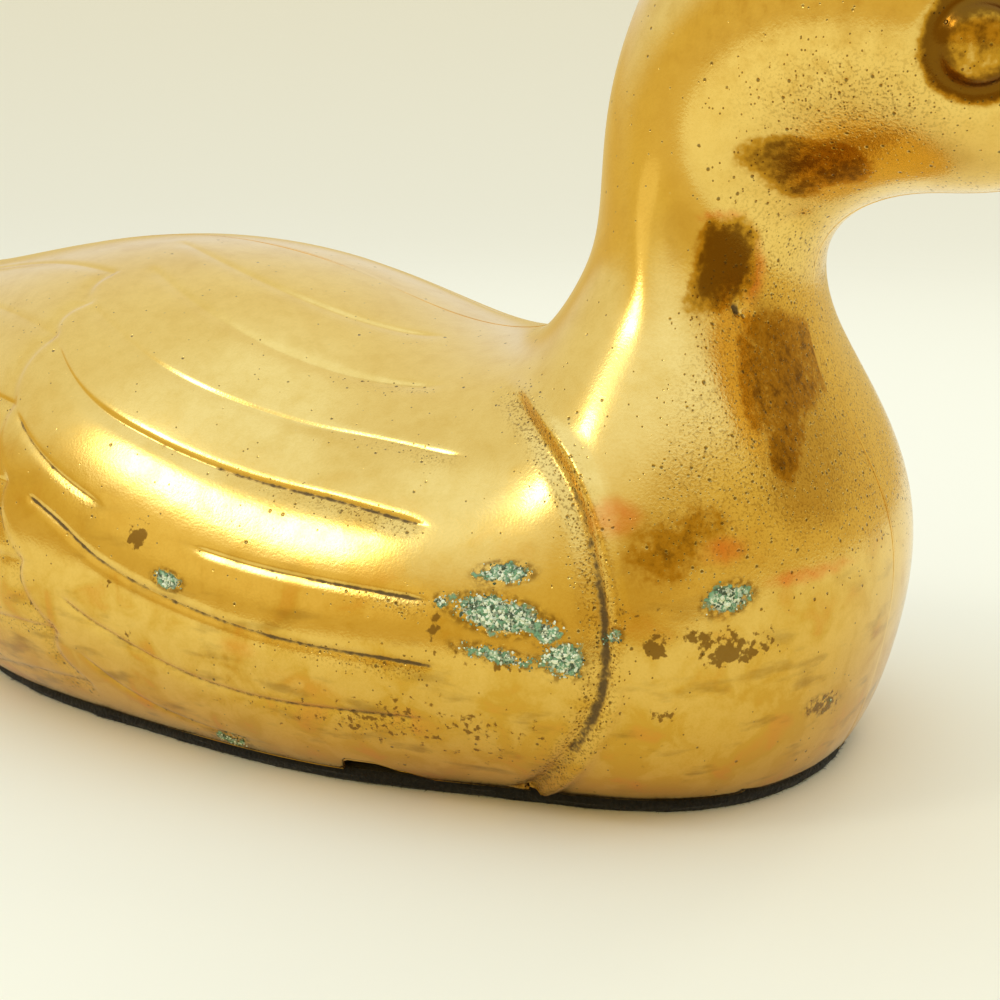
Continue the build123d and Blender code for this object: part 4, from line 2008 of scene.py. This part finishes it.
@dataclass
class Studio:
    """Floor, backdrop, lights and camera."""

    floor_radius: float = 0.45
    floor_middle: float = 0.02
    floor_rings: int = 8
    bowl_radius: float = 0.60
    bowl_rise: float = 0.75
    bowl_rings: int = 16
    disc_points: int = 96
    # Squared distances, in a wall patch's half size, where it begins and where it is full
    patch_edge: tuple[float, float] = (1.15, 0.55)
    widest_patch: float = 80.0
    lamp_colour: tuple[float, float, float] = (1.0, 0.98, 0.92)
    camera_place: tuple[float, float, float] = (0.086704, -0.140405, 0.060973)
    camera_aim: tuple[float, float, float] = (-0.48460944, 0.84087362, -0.24100882)
    lens: float = 59.227
    sensor: float = 36.0
    nearest: float = 0.005

    def build(self) -> None:
        """Sets up the whole studio."""
        bpy.context.scene.view_settings.view_transform = "Standard"
        self._ground()
        self._world()
        for lamp in LAMPS:
            self._lamp(lamp)
        self._camera()

    def _ground(self) -> None:
        """A round floor and a bowl-shaped backdrop that meets it."""
        finish = PaleGround()
        radii = np.linspace(self.floor_middle, self.floor_radius, self.floor_rings)
        rings = [np.array((radius, 0.0)) for radius in radii]
        floor = self._disc("floor", rings)
        turns = np.linspace(0, math.pi / 2, self.bowl_rings)[1:]
        out = self.floor_radius + self.bowl_radius * np.sin(turns)
        bend = list(zip(out, self.bowl_radius * (1 - np.cos(turns))))
        top = (bend[-1][0], bend[-1][1] + self.bowl_rise)
        bowl = self._disc("backdrop", [rings[-1], *bend, top], centre=False)
        bowl.visible_glossy = bowl.visible_diffuse = bowl.visible_shadow = False
        for piece in (floor, bowl):
            finish.dress(piece)

    def _disc(self, name: str, rings: Sequence[Sequence[float]], centre: bool = True) -> bpy.types.Object:
        """A surface turned round the upright axis, from radii and heights.

        Args:
            name: The surface's name.
            rings: A radius and a height for each ring, from the middle out.
            centre: Whether a face closes the middle.

        Returns:
            The surface.
        """
        count = self.disc_points
        angles = np.linspace(0, 2 * math.pi, count, endpoint=False)
        points = [(r * math.cos(a), r * math.sin(a), h) for r, h in rings for a in angles]
        faces = []
        for start in range(0, (len(rings) - 1) * count, count):
            for i in range(count):
                j = (i + 1) % count
                faces.append((start + i, start + j, start + count + j, start + count + i))
        if centre:
            faces.append(tuple(range(count)))
        mesh = bpy.data.meshes.new(name)
        mesh.from_pydata(points, [], faces)
        mesh.polygons.foreach_set("use_smooth", np.ones(len(mesh.polygons), bool))
        made = bpy.data.objects.new(name, mesh)
        bpy.context.scene.collection.objects.link(made)
        return made

    def _world(self) -> None:
        """Soft surroundings: a pale ceiling and side wall, and warmer walls near the horizon."""
        world = bpy.data.worlds.new("studio")
        bpy.context.scene.world = world
        world.use_nodes = True
        graph = Graph(world.node_tree)
        way = graph.add("ShaderNodeTexCoord", {}, {}, "Generated")
        share = graph.add("ShaderNodeSeparateXYZ", {}, {0: way}, 2) * 0.5 + 0.5
        room = graph.add("ShaderNodeValToRGB", {"stops": WALL_STOPS}, {0: share})
        for patch in WALL_PATCHES:
            room = graph.blend(self._patch_mask(graph, way, patch), room, patch.colour)
        background = graph.add("ShaderNodeBackground", {}, {"Color": room, "Strength": 1.0})
        graph.add("ShaderNodeOutputWorld", {}, {"Surface": background})

    def _patch_mask(self, graph: Graph, way: Socket, patch: WallPatch) -> Socket:
        """How much of a patch shows in a direction.

        Args:
            graph: The world's graph.
            way: The direction that is looked in.
            patch: The patch.

        Returns:
            The share, from 0 to its weight.
        """
        aim = self._aim(patch.azimuth, patch.elevation)
        right = aim.cross(Vector((0.0, 0.0, 1.0))).normalized()
        up = right.cross(aim)
        far = None
        for axis, half in ((right, patch.wide), (up, patch.high)):
            reach = math.sin(math.radians(min(half, self.widest_patch)))
            square = (graph.dot(way, axis) * (1 / reach)).power(2.0)
            far = square if far is None else far + square
        ahead = graph.dot(way, aim)
        return far.rise(*self.patch_edge) * ahead.rise(0.0, 0.1) * patch.weight

    @staticmethod
    def _aim(azimuth: float, elevation: float) -> Vector:
        """Direction at an azimuth, 0 along -Y and 90 along +X, and an elevation."""
        turn, lift = math.radians(azimuth), math.radians(elevation)
        return Vector((math.sin(turn) * math.cos(lift), -math.cos(turn) * math.cos(lift), math.sin(lift)))

    def _lamp(self, lamp: Lamp) -> None:
        """Adds an area lamp that faces its target.

        Args:
            lamp: The lamp.
        """
        light = bpy.data.lights.new(lamp.name, "AREA")
        light.shape, light.size, light.size_y, light.energy = "RECTANGLE", *lamp.size, lamp.power
        light.color = self.lamp_colour
        made = bpy.data.objects.new(lamp.name, light)
        aim = self._aim(lamp.azimuth, lamp.elevation)
        made.location = Vector(lamp.target) + aim * lamp.far
        made.rotation_euler = (-aim).to_track_quat("-Z", "Y").to_euler()
        made.visible_camera = False
        bpy.context.scene.collection.objects.link(made)

    def _camera(self) -> None:
        """The camera at the picture's point of view."""
        data = bpy.data.cameras.new("camera")
        data.lens, data.sensor_width, data.clip_start = self.lens, self.sensor, self.nearest
        camera = bpy.data.objects.new("camera", data)
        camera.location = self.camera_place
        camera.rotation_mode = "QUATERNION"
        camera.rotation_quaternion = Vector(self.camera_aim).to_track_quat("-Z", "Y")
        bpy.context.scene.collection.objects.link(camera)
        bpy.context.scene.camera = camera


def main() -> None:
    """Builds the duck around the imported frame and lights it."""
    logging.basicConfig(level=logging.INFO, format="%(name)s: %(message)s")
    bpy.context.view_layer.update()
    sizes = DuckSizes.from_frame()
    brass = OldBrass()
    for side in Side:
        brass.dress(HalfShell(sizes, side).build())
    BrazeMetal().dress(SeamBraze(sizes).build())
    BlackFelt().dress(FeltSole(sizes).build())
    GreyCard().dress(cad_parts["backing_card"])
    Studio().build()


if __name__ == "__main__":
    main()
